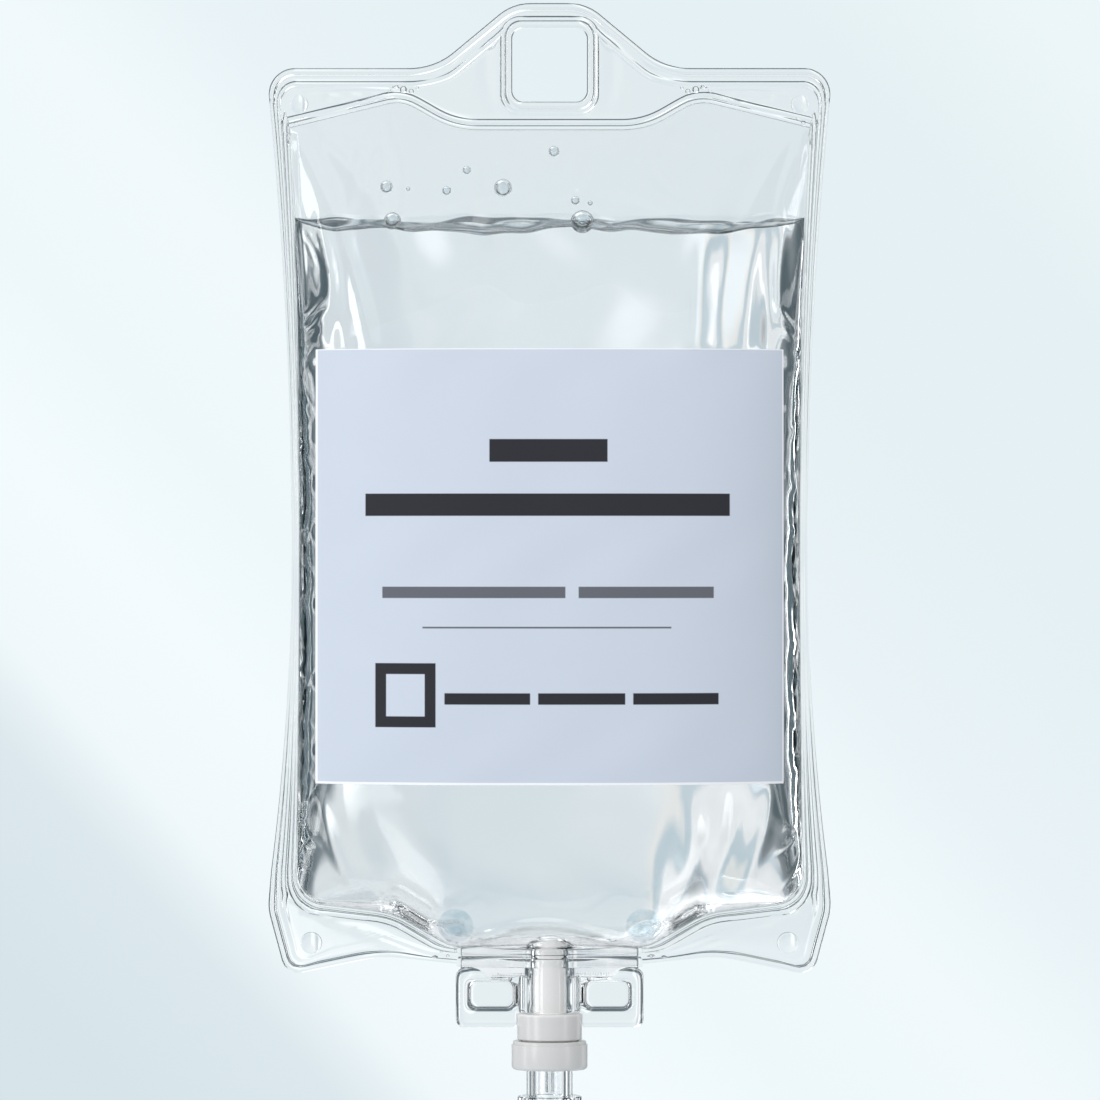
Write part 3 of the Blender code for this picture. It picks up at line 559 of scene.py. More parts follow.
def rim_distance(x, z):
    """About how far a point lies inside the chamber's rim."""
    side = chamber_half(z) - np.abs(x)
    return np.minimum(np.minimum(side, z - foot_line(x)), top_line(x) - z)


print("fullest depth:", round(2 * float(depth(np.zeros(1), np.full(1, FULL_Z))[0]), 1), "mm")


# %% A fold
class Fold:
    """A ridge, or a furrow if its height is negative, along a curve through three points."""

    def __init__(self, start, middle, end, width, height, sharp=0.0):
        steps = np.linspace(0, 1, 9)[:, None]
        start, middle, end = (np.array(p, float) for p in (start, middle, end))
        self.path = start * (1 - steps) ** 2 + middle * 2 * steps * (1 - steps) + end * steps ** 2
        self.width = width
        self.height = height
        self.sharp = sharp

    def lift(self, x, z):
        """The fold's height at each point, which fades out beside it and towards its ends."""
        lifted = np.zeros(x.shape)
        reach = 4 * self.width
        low, high = self.path.min(0) - reach, self.path.max(0) + reach
        near = (x > low[0]) & (x < high[0]) & (z > low[1]) & (z < high[1])
        px, pz = x[near], z[near]
        nearest = np.full(px.shape, np.inf)
        along = np.zeros(px.shape)
        count = len(self.path) - 1
        for index in range(count):
            a, b = self.path[index], self.path[index + 1]
            way = b - a
            share = np.clip(((px - a[0]) * way[0] + (pz - a[1]) * way[1]) / (way @ way), 0, 1)
            away = np.hypot(px - a[0] - share * way[0], pz - a[1] - share * way[1])
            closer = away < nearest
            nearest = np.where(closer, away, nearest)
            along = np.where(closer, (index + share) / count, along)
        off = nearest / self.width
        round_top = np.exp(-off ** 2)
        sharp_top = np.exp(-1.6 * off)
        taper = np.sin(np.pi * np.clip(along, 0.02, 0.98)) ** 0.5
        top = round_top * (1 - self.sharp) + sharp_top * self.sharp
        lifted[near] = self.height * taper * top
        return lifted


test_fold = Fold((-5, 0), (0, 0), (5, 0), 1.0, 1.0)
print("1 mm fold, on its line and 1 mm beside it:",
      test_fold.lift(np.zeros(2), np.array([0.0, 1.0])).round(2))


# %% Folds
def side_folds(side, draw, height):
    """Puckers along one side seam: thin creases that loop out to it and back, on soft waves."""
    made = []
    z = -74.0
    while z > -190:
        seam = float(chamber_half(np.array(z)))
        tall = draw.uniform(8, 15)
        reach = draw.uniform(3.2, 4.4) if z > -172 else draw.uniform(4.5, 6.5)
        turn = (side * (seam + draw.uniform(1.2, 2.6)), z - tall * draw.uniform(0.4, 0.6))
        start = (side * (seam - reach), z)
        back = (side * (seam - reach * draw.uniform(0.7, 1.0)), z - tall)
        made.append(Fold(start, turn, back, 0.55, height * 0.5, 0.2))
        made.append(Fold((side * (seam - 0.3), z - 3.5), (side * (seam - 2), z - 4.0),
                         (side * (seam - 4.5), z - 2.0), 1.6, height * 0.6))
        z -= tall + draw.uniform(1.0, 4.0)
    return made


# Each long fold: its start, middle and end, its width and height, and how sharp it is.
LONG_FOLDS = (
    # Out of the upper left corner and under the top seam.
    ((-59.3, -23.5), (-56.5, -40), (-50.5, -80), 1.7, 0.75),
    ((-59.0, -23.2), (-52.5, -38), (-45.0, -84), 2.1, 0.95),
    ((-58.5, -23.0), (-49.0, -36), (-38.5, -86), 2.1, 0.85),
    ((-59.5, -24), (-58.2, -40), (-55.4, -60), 0.8, 0.35),
    ((-56, -24), (-45, -31), (-33, -52), 1.7, 0.22),
    ((-43, -28), (-44.5, -34), (-46, -44), 1.1, 0.22),
    ((-38, -27), (-39, -34), (-41, -46), 1.1, 0.16),
    ((-12, -26), (-13.5, -32), (-15, -41), 2.2, 0.35),
    ((6, -27), (8, -33), (9, -42), 1.8, 0.3),
    ((24, -27), (30, -33), (33, -42), 1.8, 0.3),
    # Out of the upper right corner.
    ((59.2, -23.5), (57.5, -34), (55.5, -50), 1.2, 0.45),
    ((58.8, -23.2), (54.5, -33), (51, -50), 1.4, 0.35),
    ((57.0, -22.8), (50, -32), (43, -50), 1.6, 0.25),
    # Down the right side, above the label.
    ((36, -48), (33.5, -58), (33.5, -84), 1.8, 0.85),
    ((42, -47), (39.0, -58), (38.5, -86), 1.7, -0.80),
    ((48, -46), (44.5, -58), (44.0, -88), 1.8, 0.75),
    ((52.5, -47), (50.0, -58), (49.5, -86), 1.4, -0.55),
    # Loops in the narrow strips beside the label's upper corners.
    ((-53.2, -45), (-47.4, -60), (-52.8, -71), 1.9, 1.9),
    ((53.8, -45), (50.6, -58), (53.8, -70), 1.8, 1.5),
    ((-57.2, -46), (-56.0, -54), (-56.2, -64), 0.5, 0.35, 0.2),
    ((-55.5, -47), (-52.8, -51), (-52.0, -55), 0.5, 0.35, 0.2),
    ((-56.8, -48), (-54.2, -52), (-53.4, -56), 0.45, 0.3, 0.2),
    ((-57.5, -68.5), (-55, -67), (-51, -62), 0.7, 0.95, 0.2),
    ((-57.3, -71.5), (-54, -69.5), (-51.5, -65.5), 0.6, 0.7, 0.2),
    ((57.8, -70.5), (55, -69), (52.0, -64), 0.7, 0.95, 0.2),
    ((57.8, -73.5), (54.5, -71), (52.6, -67), 0.6, 0.7, 0.2),
    # Below the label, towards the heels.
    ((-47, -174), (-44, -188), (-36.5, -199), 3.0, 0.35),
    ((-53, -174), (-50, -190), (-44, -199.5), 1.4, 0.40),
    ((31, -176), (35, -188), (29, -202), 2.4, 0.7),
    ((42, -174), (44, -186), (36, -200), 2.0, -0.6),
    ((51, -174), (50, -186), (43, -199.5), 1.8, 0.7),
    # Creases where the film is drawn in over the port.
    ((-25.5, -203), (-24, -198), (-20.5, -193), 0.7, 0.25, 0.2),
    ((-22.8, -202), (-19, -198), (-17.5, -193), 0.6, 0.22, 0.2),
    ((24.5, -203), (25, -199), (20, -195), 0.7, 0.25, 0.2),
    ((22.5, -202), (19, -199), (16.5, -196), 0.6, 0.22, 0.2),
    ((-16, -203), (-9, -199), (-3, -196), 0.6, 0.20, 0.3),
    ((-19.5, -210.5), (-1.5, -200.0), (16.5, -210.5), 1.1, 1.7),
    ((-18.5, -210.6), (-12.5, -204.5), (-6.5, -210.2), 0.6, 0.3),
    ((18.5, -210.6), (12.5, -204.5), (6.5, -210.2), 0.6, 0.3),
    # Two broad waves across the foot.
    ((-40, -188), (-15, -184), (12, -186), 2.6, 0.25),
    ((-30, -181), (-5, -178), (22, -181), 2.6, -0.2),
)
PIT_X, PIT_Z, PIT_RADIUS = 21.5, -206.0, 4.3


def dimples(x, z):
    """Two shallow round hollows beside the port, where the film is drawn in."""
    away = np.hypot(np.abs(x) - PIT_X, z - PIT_Z) / PIT_RADIUS
    return -0.5 * np.clip(1 - away ** 4, 0, None)


draw = np.random.default_rng(23)
front_folds = side_folds(-1, draw, 0.75) + side_folds(1, draw, 0.75)
front_folds += [Fold(*shape) for shape in LONG_FOLDS]
back_folds = side_folds(-1, draw, 0.35) + side_folds(1, draw, 0.35)
print("folds:", len(front_folds), "in front,", len(back_folds), "at the back")

# %% [markdown]
# ## The two films
#
# The real films are thin sheets that part at the chamber's rim. A flat sheet with displacement
# could give the pillow, but not a rim that both films and the edge share to the point. So a grid
# of columns and rows is laid over the chamber, closer together near the sides where the puckers
# are, and each film is a thin closed body on it: an outer face and an inner one, a wall apart.

# %% Film over the port
FILM_WALL = 0.3
BOAT_RADIUS, BOAT_TIP_HALF, BOAT_TIP = 6.6, 20.4, 0.5
TUBE_RADIUS = 7.1
DOME_RADIUS, DOME_FOOT, DOME_HEIGHT = 5.4, -211.2, 4.0
BOAT_TANGENT = math.atan2(BOAT_TIP, BOAT_TIP_HALF) + math.acos(
    BOAT_RADIUS / math.hypot(BOAT_TIP_HALF, BOAT_TIP))


def boat_half(x, grown=0.0):
    """Half the thickness of the port's pointed boat, at a distance from its middle."""
    x = np.abs(x)
    radius = BOAT_RADIUS + grown
    start = radius * math.cos(BOAT_TANGENT)
    round_part = np.sqrt(np.clip(radius ** 2 - x ** 2, 0, None))
    flank_ends = (radius * math.sin(BOAT_TANGENT), BOAT_TIP + grown)
    flank = np.interp(x, (start, BOAT_TIP_HALF), flank_ends)
    return np.where(x < start, round_part, np.where(x < BOAT_TIP_HALF + grown, flank, 0))


def film_depth(x, z):
    """The pillow, held open at the foot by the port's boat and by the tube's dome."""
    climb = np.clip((z - DOME_FOOT) / DOME_HEIGHT, 0, 1)
    radius = np.where(z < DOME_FOOT, TUBE_RADIUS, DOME_RADIUS * np.sqrt(1 - climb ** 2)) + 0.35
    tube = np.sqrt(np.clip(radius ** 2 - x ** 2, 0, None)) * (climb < 1)
    boat = boat_half(x, 0.3) * np.clip((DOME_FOOT + 1 - z) / 1.2, 0, 1)
    return np.maximum(depth(x, z), np.maximum(boat, tube))


print("the boat holds the films", 2 * float(boat_half(0.0)), "mm apart")


# %% Wrinkled film
LABEL_HALF, LABEL_TOP, LABEL_FOOT = 53.6, -74.1, -173.5


def label_share(x, z):
    """1 under the label, where the film is smooth, and 0 outside it."""
    across = np.clip((LABEL_HALF + 0.6 - np.abs(x)) / 1.2, 0, 1)
    up = np.clip((LABEL_TOP + 0.8 - z) / 2, 0, 1) * np.clip((z - LABEL_FOOT + 0.8) / 2, 0, 1)
    return across * up


def swell(x, z):
    """Broad soft waves of the whole film, with the label on it."""
    waves = np.sin(x * 0.21 + np.sin(z * 0.13) * 1.4) * np.sin(z * 0.17 + 0.6)
    return 0.2 * waves * np.clip(rim_distance(x, z) / 12, 0, 1)


def wrinkled(x, z, folds, labelled):
    """The folds' lift, faded out at the rim so that the two films still meet there."""
    lift = sum((fold.lift(x, z) for fold in folds), np.zeros(x.shape))
    lift *= np.clip(rim_distance(x, z) / 2, 0, 1)
    lift += dimples(x, z)
    if labelled:
        lift *= 1 - label_share(x, z)
    return lift + swell(x, z)


print("smooth under the label, from", LABEL_FOOT, "to", LABEL_TOP, "mm")


# %% Chamber grid
COLUMNS, ROWS, FLUID_ROWS = 132, 336, 280
WIDE_STEP, CLOSE_STEP = 1.25, 0.17


def crowded_shares():
    """Column places from -1 to 1, close together at the sides where the film turns."""
    fine = np.linspace(-1, 1, 4001)
    near = np.clip((np.abs(fine) - 0.76) / 0.24, 0, 1)
    density = 1 / (WIDE_STEP + (CLOSE_STEP - WIDE_STEP) * near ** 0.7)
    total = np.concatenate([[0], np.cumsum((density[1:] + density[:-1]) / 2)])
    shares = np.interp(np.linspace(0, total[-1], COLUMNS + 1), total, fine)
    return (shares - shares[::-1]) / 2


def chamber_grid(rows, inset=0.0, tops=None):
    """Points (x, z) in columns from -X to +X and rows from the foot up."""
    shares = crowded_shares()
    steps = np.linspace(0, 1, rows + 1)
    steps = steps - 0.5 * np.sin(2 * np.pi * steps) / (2 * np.pi)
    low = foot_line(shares * FOOT_HALF) + inset
    high = top_line(shares * TOP_HALF) - inset if tops is None else tops(shares)
    z = low[:, None] + (high - low)[:, None] * steps
    x = shares[:, None] * (chamber_half(z) - inset)
    return x, z


def border(columns, rows):
    """The grid's rim, from the top left corner along the top and round."""
    top = [(column, rows) for column in range(columns)]
    right = [(columns, row) for row in range(rows, 0, -1)]
    foot = [(column, 0) for column in range(columns, 0, -1)]
    left = [(0, row) for row in range(rows)]
    return top + right + foot + left


print("side columns are", round(TOP_HALF * float(1 + crowded_shares()[1]), 2), "mm wide")


# %% Meshes from points
def as_object(name, points, faces, finish, crease=None):
    """A smooth mesh object from points in millimetres, with its faces turned outwards."""
    mesh = bpy.data.meshes.new(name)
    mesh.from_pydata([tuple(p) for p in np.asarray(points) * MM], [], faces)
    shape = bmesh.new()
    shape.from_mesh(mesh)
    bmesh.ops.remove_doubles(shape, verts=shape.verts, dist=1e-7)
    bmesh.ops.recalc_face_normals(shape, faces=shape.faces)
    shape.to_mesh(mesh)
    shape.free()
    mesh.materials.append(finish)
    mesh.shade_smooth()
    if crease is not None:
        mesh.set_sharp_from_angle(angle=math.radians(crease))
    made = bpy.data.objects.new(name, mesh)
    scene.collection.objects.link(made)
    return made


def sheet_points(x, y, z):
    """A grid's x, y and z as one list of points."""
    return np.column_stack([np.ravel(x), np.ravel(y), np.ravel(z)])


def two_skins(name, front, back, finish, crease=None, lid=()):
    """A closed body between two grids of points, joined round their rims or over lines of a lid."""
    (fx, fy, fz), (bx, by, bz) = front, back
    columns, rows = fx.shape[0] - 1, fx.shape[1] - 1
    count = fx.size
    line = rows + 1
    faces = [
        (s + c * line + r, s + (c + 1) * line + r, s + (c + 1) * line + r + 1, s + c * line + r + 1)
        for s in (0, count) for c in range(columns) for r in range(rows)
    ]
    ring = [c * line + r for c, r in border(columns, rows)]
    closing = list(zip(ring, ring[1:] + ring[:1]))
    points = [sheet_points(fx, fy, fz), sheet_points(bx, by, bz)]
    if lid:
        faces += [(a, b, b + count, a + count) for a, b in closing[columns:]]
        lines = [[c * line + rows for c in range(columns + 1)]]
        for number, across in enumerate(lid):
            points.append(across)
            lines.append([2 * count + number * (columns + 1) + c for c in range(columns + 1)])
        lines.append([index + count for index in lines[0]])
        for near, far in zip(lines, lines[1:]):
            faces += [(near[c], near[c + 1], far[c + 1], far[c]) for c in range(columns)]
    else:
        faces += [(a, b, b + count, a + count) for a, b in closing]
    return as_object(name, np.vstack(points), faces, finish, crease)


def tube_of(name, rings, finish, closed=True, crease=None):
    """A skin over rings of points. Closed, it joins up again; open, its ends are capped."""
    count = len(rings[0])
    pairs = list(zip(range(len(rings)), [*range(1, len(rings)), 0]))
    faces = []
    for first, second in pairs if closed else pairs[:-1]:
        a, b = first * count, second * count
        faces += [(a + i, a + (i + 1) % count, b + (i + 1) % count, b + i) for i in range(count)]
    if not closed:
        faces.append(tuple(range(count)))
        faces.append(tuple(range((len(rings) - 1) * count, len(rings) * count)))
    return as_object(name, np.vstack(rings), faces, finish, crease)


def solid(name, rings, finish):
    """A skin over rings of points, with its two ends capped."""
    return tube_of(name, rings, finish, closed=False)


# %% Finished pieces
def settled(thing):
    """Applies the thing's modifiers, so that it is a plain mesh."""
    graph = bpy.context.evaluated_depsgraph_get()
    mesh = bpy.data.meshes.new_from_object(thing.evaluated_get(graph))
    old = thing.data
    thing.modifiers.clear()
    thing.data = mesh
    mesh.name = thing.name
    bpy.data.meshes.remove(old)


def combined(thing, operation, *others):
    """Joins other bodies to a thing, or cuts them out of it, one after another."""
    for other in others:
        change = thing.modifiers.new("combined", "BOOLEAN")
        change.operation = operation
        change.solver = "EXACT"
        change.object = other
        settled(thing)
        bpy.data.objects.remove(other)


def shaded(thing, crease):
    """Smooth shading, with a hard line wherever faces meet at more than an angle."""
    thing.data.shade_smooth()
    thing.data.set_sharp_from_angle(angle=math.radians(crease))


def ready(thing, body, slot, *nodes):
    """Says which body a piece rides on and which solids it stands for; its slot argument is not
    used.
    """
    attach(thing, body)
    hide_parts(*nodes)
    print(thing.name, len(thing.data.polygons), "faces")


# %% Film finish
FILM_TINT, WELD_TINT, PIT_SHADE = (0.947, 0.957, 0.962), (0.995, 0.997, 1.0), (0.66, 0.75, 0.79)
WELD_FROM, WELD_FULL = 208, 212

# The welded foot is clearer than the film of the chamber, and the two hollows beside the port get a
# mottled painted shade.
film_finish = clear("clear_film", FILM_TINT, 0.025, 1.42)
film_tree = film_finish.node_tree
film_place, film_x, _, film_z = position(film_tree)
bumped(film_finish, noise(film_tree, film_place, 90, 3.0, (1, 1, 0.6)), 0.00012, 0.5)
pit_away = ((abs(film_x / MM) - PIT_X) ** 2 + (film_z / MM - PIT_Z) ** 2).math("SQRT")
mottle = noise(film_tree, film_place, 500, 3.0)
pit_shade = (PIT_RADIUS - pit_away).ramp(0, 0.5) * (mottle.ramp(0.35, 0.65) * 0.5 + 0.5)
film_tint = (film_z / MM * -1).ramp(WELD_FROM, WELD_FULL).mix(FILM_TINT, WELD_TINT)
connect(film_tree, film_tree.nodes["Principled BSDF"].inputs["Base Color"],
        pit_shade.mix(film_tint, PIT_SHADE))
print("film finish:", len(film_tree.nodes), "nodes")

# %% Films
grid_x, grid_z = chamber_grid(ROWS)
rim = border(COLUMNS, ROWS)
rim_points = np.array([(grid_x[c, r], grid_z[c, r]) for c, r in rim])
wall = FILM_WALL * slope_factor(grid_x, grid_z)

# Each film: the inner face follows the pillow and its folds, and the outer one is a wall further.
for name, side, folds in (("film_front", -1, front_folds), ("film_back", 1, back_folds)):
    inner = film_depth(grid_x, grid_z) + wrinkled(grid_x, grid_z, folds, side < 0)
    inner = np.maximum(inner, 0.03)
    skins = ((grid_x, side * (inner + wall), grid_z), (grid_x, side * inner, grid_z))
    ready(two_skins(name, *skins, film_finish), "bag", "clear_film", "film_envelope")

# %% [markdown]
# ## Balls and shells on points
#
# Welds leave small lumps of melted film behind, and drops cling to the inside of the bag. Both are
# round things of many sizes at given places. They could be copied in a loop, but a Geometry Nodes
# tree needs one shape only: it puts a ball or a thin shell on each point, with the point's radius.

# %% Balls and shells on points
DROP_HOLLOW = 0.72


def balls_on_points(name, places, radii, finish, hollow=False):
    """Balls or shells on points in millimetres, each with its own radius."""
    mesh = bpy.data.meshes.new(name)
    mesh.from_pydata([tuple(p) for p in np.asarray(places) * MM], [], [])
    made = bpy.data.objects.new(name, mesh)
    scene.collection.objects.link(made)
    mesh.attributes.new("radius", "FLOAT", "POINT").data.foreach_set("value", np.array(radii) * MM)
    tree = bpy.data.node_groups.new(name, "GeometryNodeTree")
    tree.interface.new_socket("Geometry", in_out="INPUT", socket_type="NodeSocketGeometry")
    tree.interface.new_socket("Geometry", in_out="OUTPUT", socket_type="NodeSocketGeometry")
    points = node(tree, "NodeGroupInput")
    shape = node(tree, "GeometryNodeMeshUVSphere", Segments=36, Rings=20, Radius=1.0)
    if hollow:
        inner = node(tree, "GeometryNodeMeshUVSphere", Segments=36, Rings=20, Radius=DROP_HOLLOW)
        inside_out = node(tree, "GeometryNodeFlipFaces", Mesh=inner)
        shape = node(tree, "GeometryNodeJoinGeometry", sockets=((0, shape), (0, inside_out)))
    radius = node(tree, "GeometryNodeInputNamedAttribute", 0, {"data_type": "FLOAT"}, Name="radius")
    placed = node(tree, "GeometryNodeInstanceOnPoints", Points=points, Instance=shape, Scale=radius)
    real = node(tree, "GeometryNodeRealizeInstances", Geometry=placed)
    round_balls = node(tree, "GeometryNodeSetShadeSmooth", Geometry=real)
    coated = node(tree, "GeometryNodeSetMaterial", Geometry=round_balls, Material=finish)
    node(tree, "NodeGroupOutput", (), Geometry=coated)
    made.modifiers.new("balls", "NODES").node_group = tree
    settled(made)
    return made


# %% [markdown]
# ## The welded edge
#
# Outside the chamber the two films are one strip of plastic. It is thickest in a bead at the very
# edge, thins to a web, has a second bead, and ends in a weld ridge beside the chamber. The weld
# tool leaves ridges, knots and lumps near the corners. A curve with a bevel could carry the beads,
# but not a strip whose width changes. So the strip is a skin over rings that follow the outline.
# Each ring has its distance from the edge and its height, less where the strip is narrow. The
# small marks raise the rings, and the lumps are balls from the tree above, melted into the strip.


# %% Across the strip
def lengths_along(path):
    """How far along a path each of its points lies."""
    steps = np.linalg.norm(np.diff(path, axis=0), axis=1)
    return np.concatenate([[0], np.cumsum(steps)])


def resampled(path, shares):
    """Points at the given shares of a path's length."""
    lengths = lengths_along(path)
    at = np.asarray(shares) * lengths[-1]
    return np.column_stack([np.interp(at, lengths, path[:, axis]) for axis in (0, 1)])


def edge_across():
    """For every rim point, the point of the outer edge that lies across from it."""
    grid = np.stack([grid_x, grid_z], axis=-1)
    sides = (
        (mirrored(top_path), grid[:, -1]),
        (side_path, grid[-1][::-1]),
        (mirrored(foot_path)[::-1], grid[::-1, 0]),
        (side_path[::-1] * (-1, 1), grid[0]),
    )
    edge = []
    for path, along in sides:
        lengths = lengths_along(along)
        edge.append(resampled(path, (lengths / lengths[-1])[:-1]))
    return np.vstack(edge)


def inward(ring):
    """Directions square to a closed ring, towards its inside."""
    along = np.roll(ring, -1, axis=0) - np.roll(ring, 1, axis=0)
    along /= np.linalg.norm(along, axis=1)[:, None]
    return np.column_stack([along[:, 1], -along[:, 0]])


def unit_step(start, end, normals, whole):
    """A step of 1 mm square to the ring, towards its partner, less where the strip is narrow."""
    way = end - start
    length = np.linalg.norm(way, axis=1)
    lean = np.maximum(np.einsum("ij,ij->i", way, normals) / length, 0.35)
    scale = np.minimum(length * lean / whole, 1)
    return way * (scale / lean / length)[:, None], scale


# %% Outlines as rings
def rounded_rectangle(x_low, x_high, z_low, z_high, radius, steps=14):
    """An (x, z) rectangle with rounded corners."""
    corners = (
        (x_high - radius, z_high - radius, 0), (x_low + radius, z_high - radius, 90),
        (x_low + radius, z_low + radius, 180), (x_high - radius, z_low + radius, 270),
    )
    points = []
    for cx, cz, first in corners:
        for angle in np.radians(np.linspace(first, first + 90, steps + 1)):
            points.append((cx + radius * math.cos(angle), cz + radius * math.sin(angle)))
    return np.array(points)


def upright(outline, y):
    """An (x, z) outline as a ring of points at one depth."""
    return np.column_stack([outline[:, 0], np.full(len(outline), y), outline[:, 1]])


def level(outline, z):
    """An (x, y) outline as a ring of points at one height."""
    return np.column_stack([outline[:, 0], outline[:, 1], np.full(len(outline), z)])


def boat_outline(grown):
    """The (x, y) outline of the port's boat, grown all round."""
    xs = (BOAT_TIP_HALF + grown) * np.sin(np.linspace(-math.pi / 2, math.pi / 2, 61))
    half = boat_half(np.clip(np.abs(xs), 0, BOAT_TIP_HALF), grown)
    upper = np.column_stack([xs, half])
    return np.vstack([upper[::-1], upper * (1, -1)])


def circle(radius, steps=96):
    """A round outline of even steps."""
    turns = np.linspace(0, 2 * math.pi, steps, endpoint=False)
    return np.column_stack([radius * np.cos(turns), radius * np.sin(turns)])


print("boat outline:", len(boat_outline(0)), "points")


# %% Marks of the weld tool
# Each knot: its x, z, radius and rise. Each ridge is a fold of the left side.
MARKS = (
    (38.5, -15.6, 0.9, 0.16), (41.0, -15.3, 0.9, 0.20), (43.4, -16.2, 0.8, 0.16),
    (45.6, -15.6, 0.9, 0.2), (48.2, -16.4, 0.9, 0.16), (50.6, -15.8, 0.9, 0.18),
)
CELL_FOLDS = (
    Fold((-55, -20.6), (-46, -18.3), (-35, -14.6), 0.4, 0.3),
    Fold((-56, -14.6), (-46, -13.2), (-35, -14.4), 0.35, 0.25),
    Fold((-12.8, -18.5), (-16.5, -9), (-12.9, -0.5), 0.8, 0.28),
    Fold((-14, -2), (-20, -8), (-31, -12.8), 0.7, 0.25),
    Fold((-57, -203.5), (-44, -206), (-28, -212.4), 0.3, 0.25),
    Fold((-60.5, -200), (-46, -207.8), (-30, -213.2), 0.35, 0.25),
)


def strip_marks(x, z):
    """How far the weld tool's knots and ridges raise the strip, the same left and right."""
    height = np.zeros(x.shape)
    for mark_x, mark_z, radius, rise in MARKS:
        away = np.hypot(np.abs(x) - mark_x, z - mark_z)
        height += rise * np.exp(-(away / radius) ** 2)
    for fold in CELL_FOLDS:
        height += fold.lift(-np.abs(x), z)
    return height


print("marks:", len(MARKS), "knots and", len(CELL_FOLDS), "ridges on each side")


# %% Welded edge
# Each ring: how far in from the edge it lies, and half its thickness.
EDGE_PROFILE = (
    (0.0, 0.30), (0.05, 0.52), (0.2, 0.74), (0.45, 0.93), (0.75, 1.02), (1.0, 1.0), (1.25, 0.86),
    (1.55, 0.63), (1.8, 0.48), (2.4, 0.45), (2.95, 0.46), (3.2, 0.59), (3.45, 0.78), (3.65, 0.86),
    (3.85, 0.82), (4.1, 0.63), (4.4, 0.48),
)
# The same, measured outwards from the chamber's rim.
SEAM_PROFILE = (
    (2.6, 0.47), (2.35, 0.56), (2.1, 0.76), (1.85, 0.88), (1.65, 0.85), (1.4, 0.67), (1.15, 0.52),
    (0.95, 0.56), (0.7, 0.78), (0.45, 0.95), (0.2, 0.9), (0.03, 0.70),
)
OUTER_BEAD, WEB_HALF, FOOT_FROM = 9, 0.46, -198
WHOLE = EDGE_PROFILE[-1][0] + SEAM_PROFILE[0][0] + 0.3

edge = edge_across()
edge_step, narrow = unit_step(edge, rim_points, inward(edge), WHOLE)
seam_step, _ = unit_step(rim_points, edge, -inward(rim_points), WHOLE)
relief = np.clip(narrow * 1.5 - 0.25, 0.12, 1) ** 1.3
rings = [(edge + edge_step * away, height) for away, height in EDGE_PROFILE]
last = edge + edge_step * EDGE_PROFILE[-1][0]
first = rim_points + seam_step * SEAM_PROFILE[0][0]
rings += [(last + (first - last) * share, WEB_HALF) for share in np.linspace(0.1, 0.9, 9)]
rings += [(rim_points + seam_step * away, height) for away, height in SEAM_PROFILE]
front, back = [], []
for number, (ring, height) in enumerate(rings):
    share = 1
    if number >= OUTER_BEAD:
        # Round the foot the second bead fades and the weld ridge grows.
        growth = -0.85 if number < len(EDGE_PROFILE) else 0.6
        share = 1 + growth * np.clip((FOOT_FROM - ring[:, 1]) / 8, 0, 1)
    half = WEB_HALF + (height - WEB_HALF) * (relief * share if height > WEB_HALF else 1)
    if number == len(rings) - 1:
        half = np.maximum(half, 0.7)
    half = half + strip_marks(ring[:, 0], ring[:, 1])
    front.append(np.column_stack([ring[:, 0], -half, ring[:, 1]]))
    back.append(np.column_stack([ring[:, 0], half, ring[:, 1]]))
welded_edge = tube_of("welded_edge", front + back[::-1], film_finish)
print("welded edge:", len(rings), "rings on each face")

# %% [markdown]
# ## The eye, the corners and the sleeve
#
# On the real bag the eye is punched out and its rim is left thick, round bosses stand in the
# corners, and the foot of the film grips the port's boat like a sleeve. All of them are welded to
# the strip. They could lie on it as separate pieces, but clear plastic would then show a line
# wherever two of them touch, so they are joined to the strip as one body.

# %% Eye, bosses, lumps and sleeve
EYE_HALF, EYE_HEIGHT, EYE_ROUND = 8.6, 17, 2.6
# Each ring of the eye's rim: how far outside the eye, and half its thickness.
RIM_PROFILE = (
    (0.0, 0.7), (0.15, 1.0), (0.35, 1.25), (0.6, 1.35), (1.05, 1.35), (1.3, 1.2), (1.55, 0.96),
    (1.8, 0.82), (2.2, 0.8), (2.5, 0.68), (2.75, 0.45),
)
# Each lump and each boss: its x, z and radius.
LUMPS = (
    (33.6, -14.2, 0.85), (31.8, -14.6, 0.6), (35.2, -13.6, 0.55), (30.4, -13.8, 0.4),
    (36.8, -14.4, 0.4), (58.3, -22.0, 0.7), (57.0, -20.8, 0.5), (60.0, -24.6, 0.5),
    (61.2, -21.6, 0.45), (60.6, -27.4, 0.4), (21.6, -212.2, 0.45), (23.4, -213.4, 0.4),
    (24.9, -212.4, 0.35), (26.4, -213.6, 0.3),
)
BOSSES = ((57.6, -17.6, 2.1), (54.8, -210.4, 2.5))
# Each ring of the sleeve: its height, and how far outside the boat.
SLEEVE_PROFILE = (
    (-215.9, 0.4), (-215.8, 0.75), (-215.5, 0.95), (-214.4, 0.95), (-214.0, 0.8), (-213.7, 0.55),
    (-213.1, 0.5), (-212.8, 0.7), (-212.5, 0.9), (-211.8, 0.9), (-211.5, 0.7),
)


def eye_outline(grown):
    """The outline of the hanger eye, grown all round."""
    return rounded_rectangle(-EYE_HALF - grown, EYE_HALF + grown, -EYE_HEIGHT - grown, grown,
                             EYE_ROUND + grown * 0.7)


def mirrored_places(places):
    """Each (x, z, radius) on the left and on the right."""
    return [(side * x, z, radius) for x, z, radius in places for side in (-1, 1)]


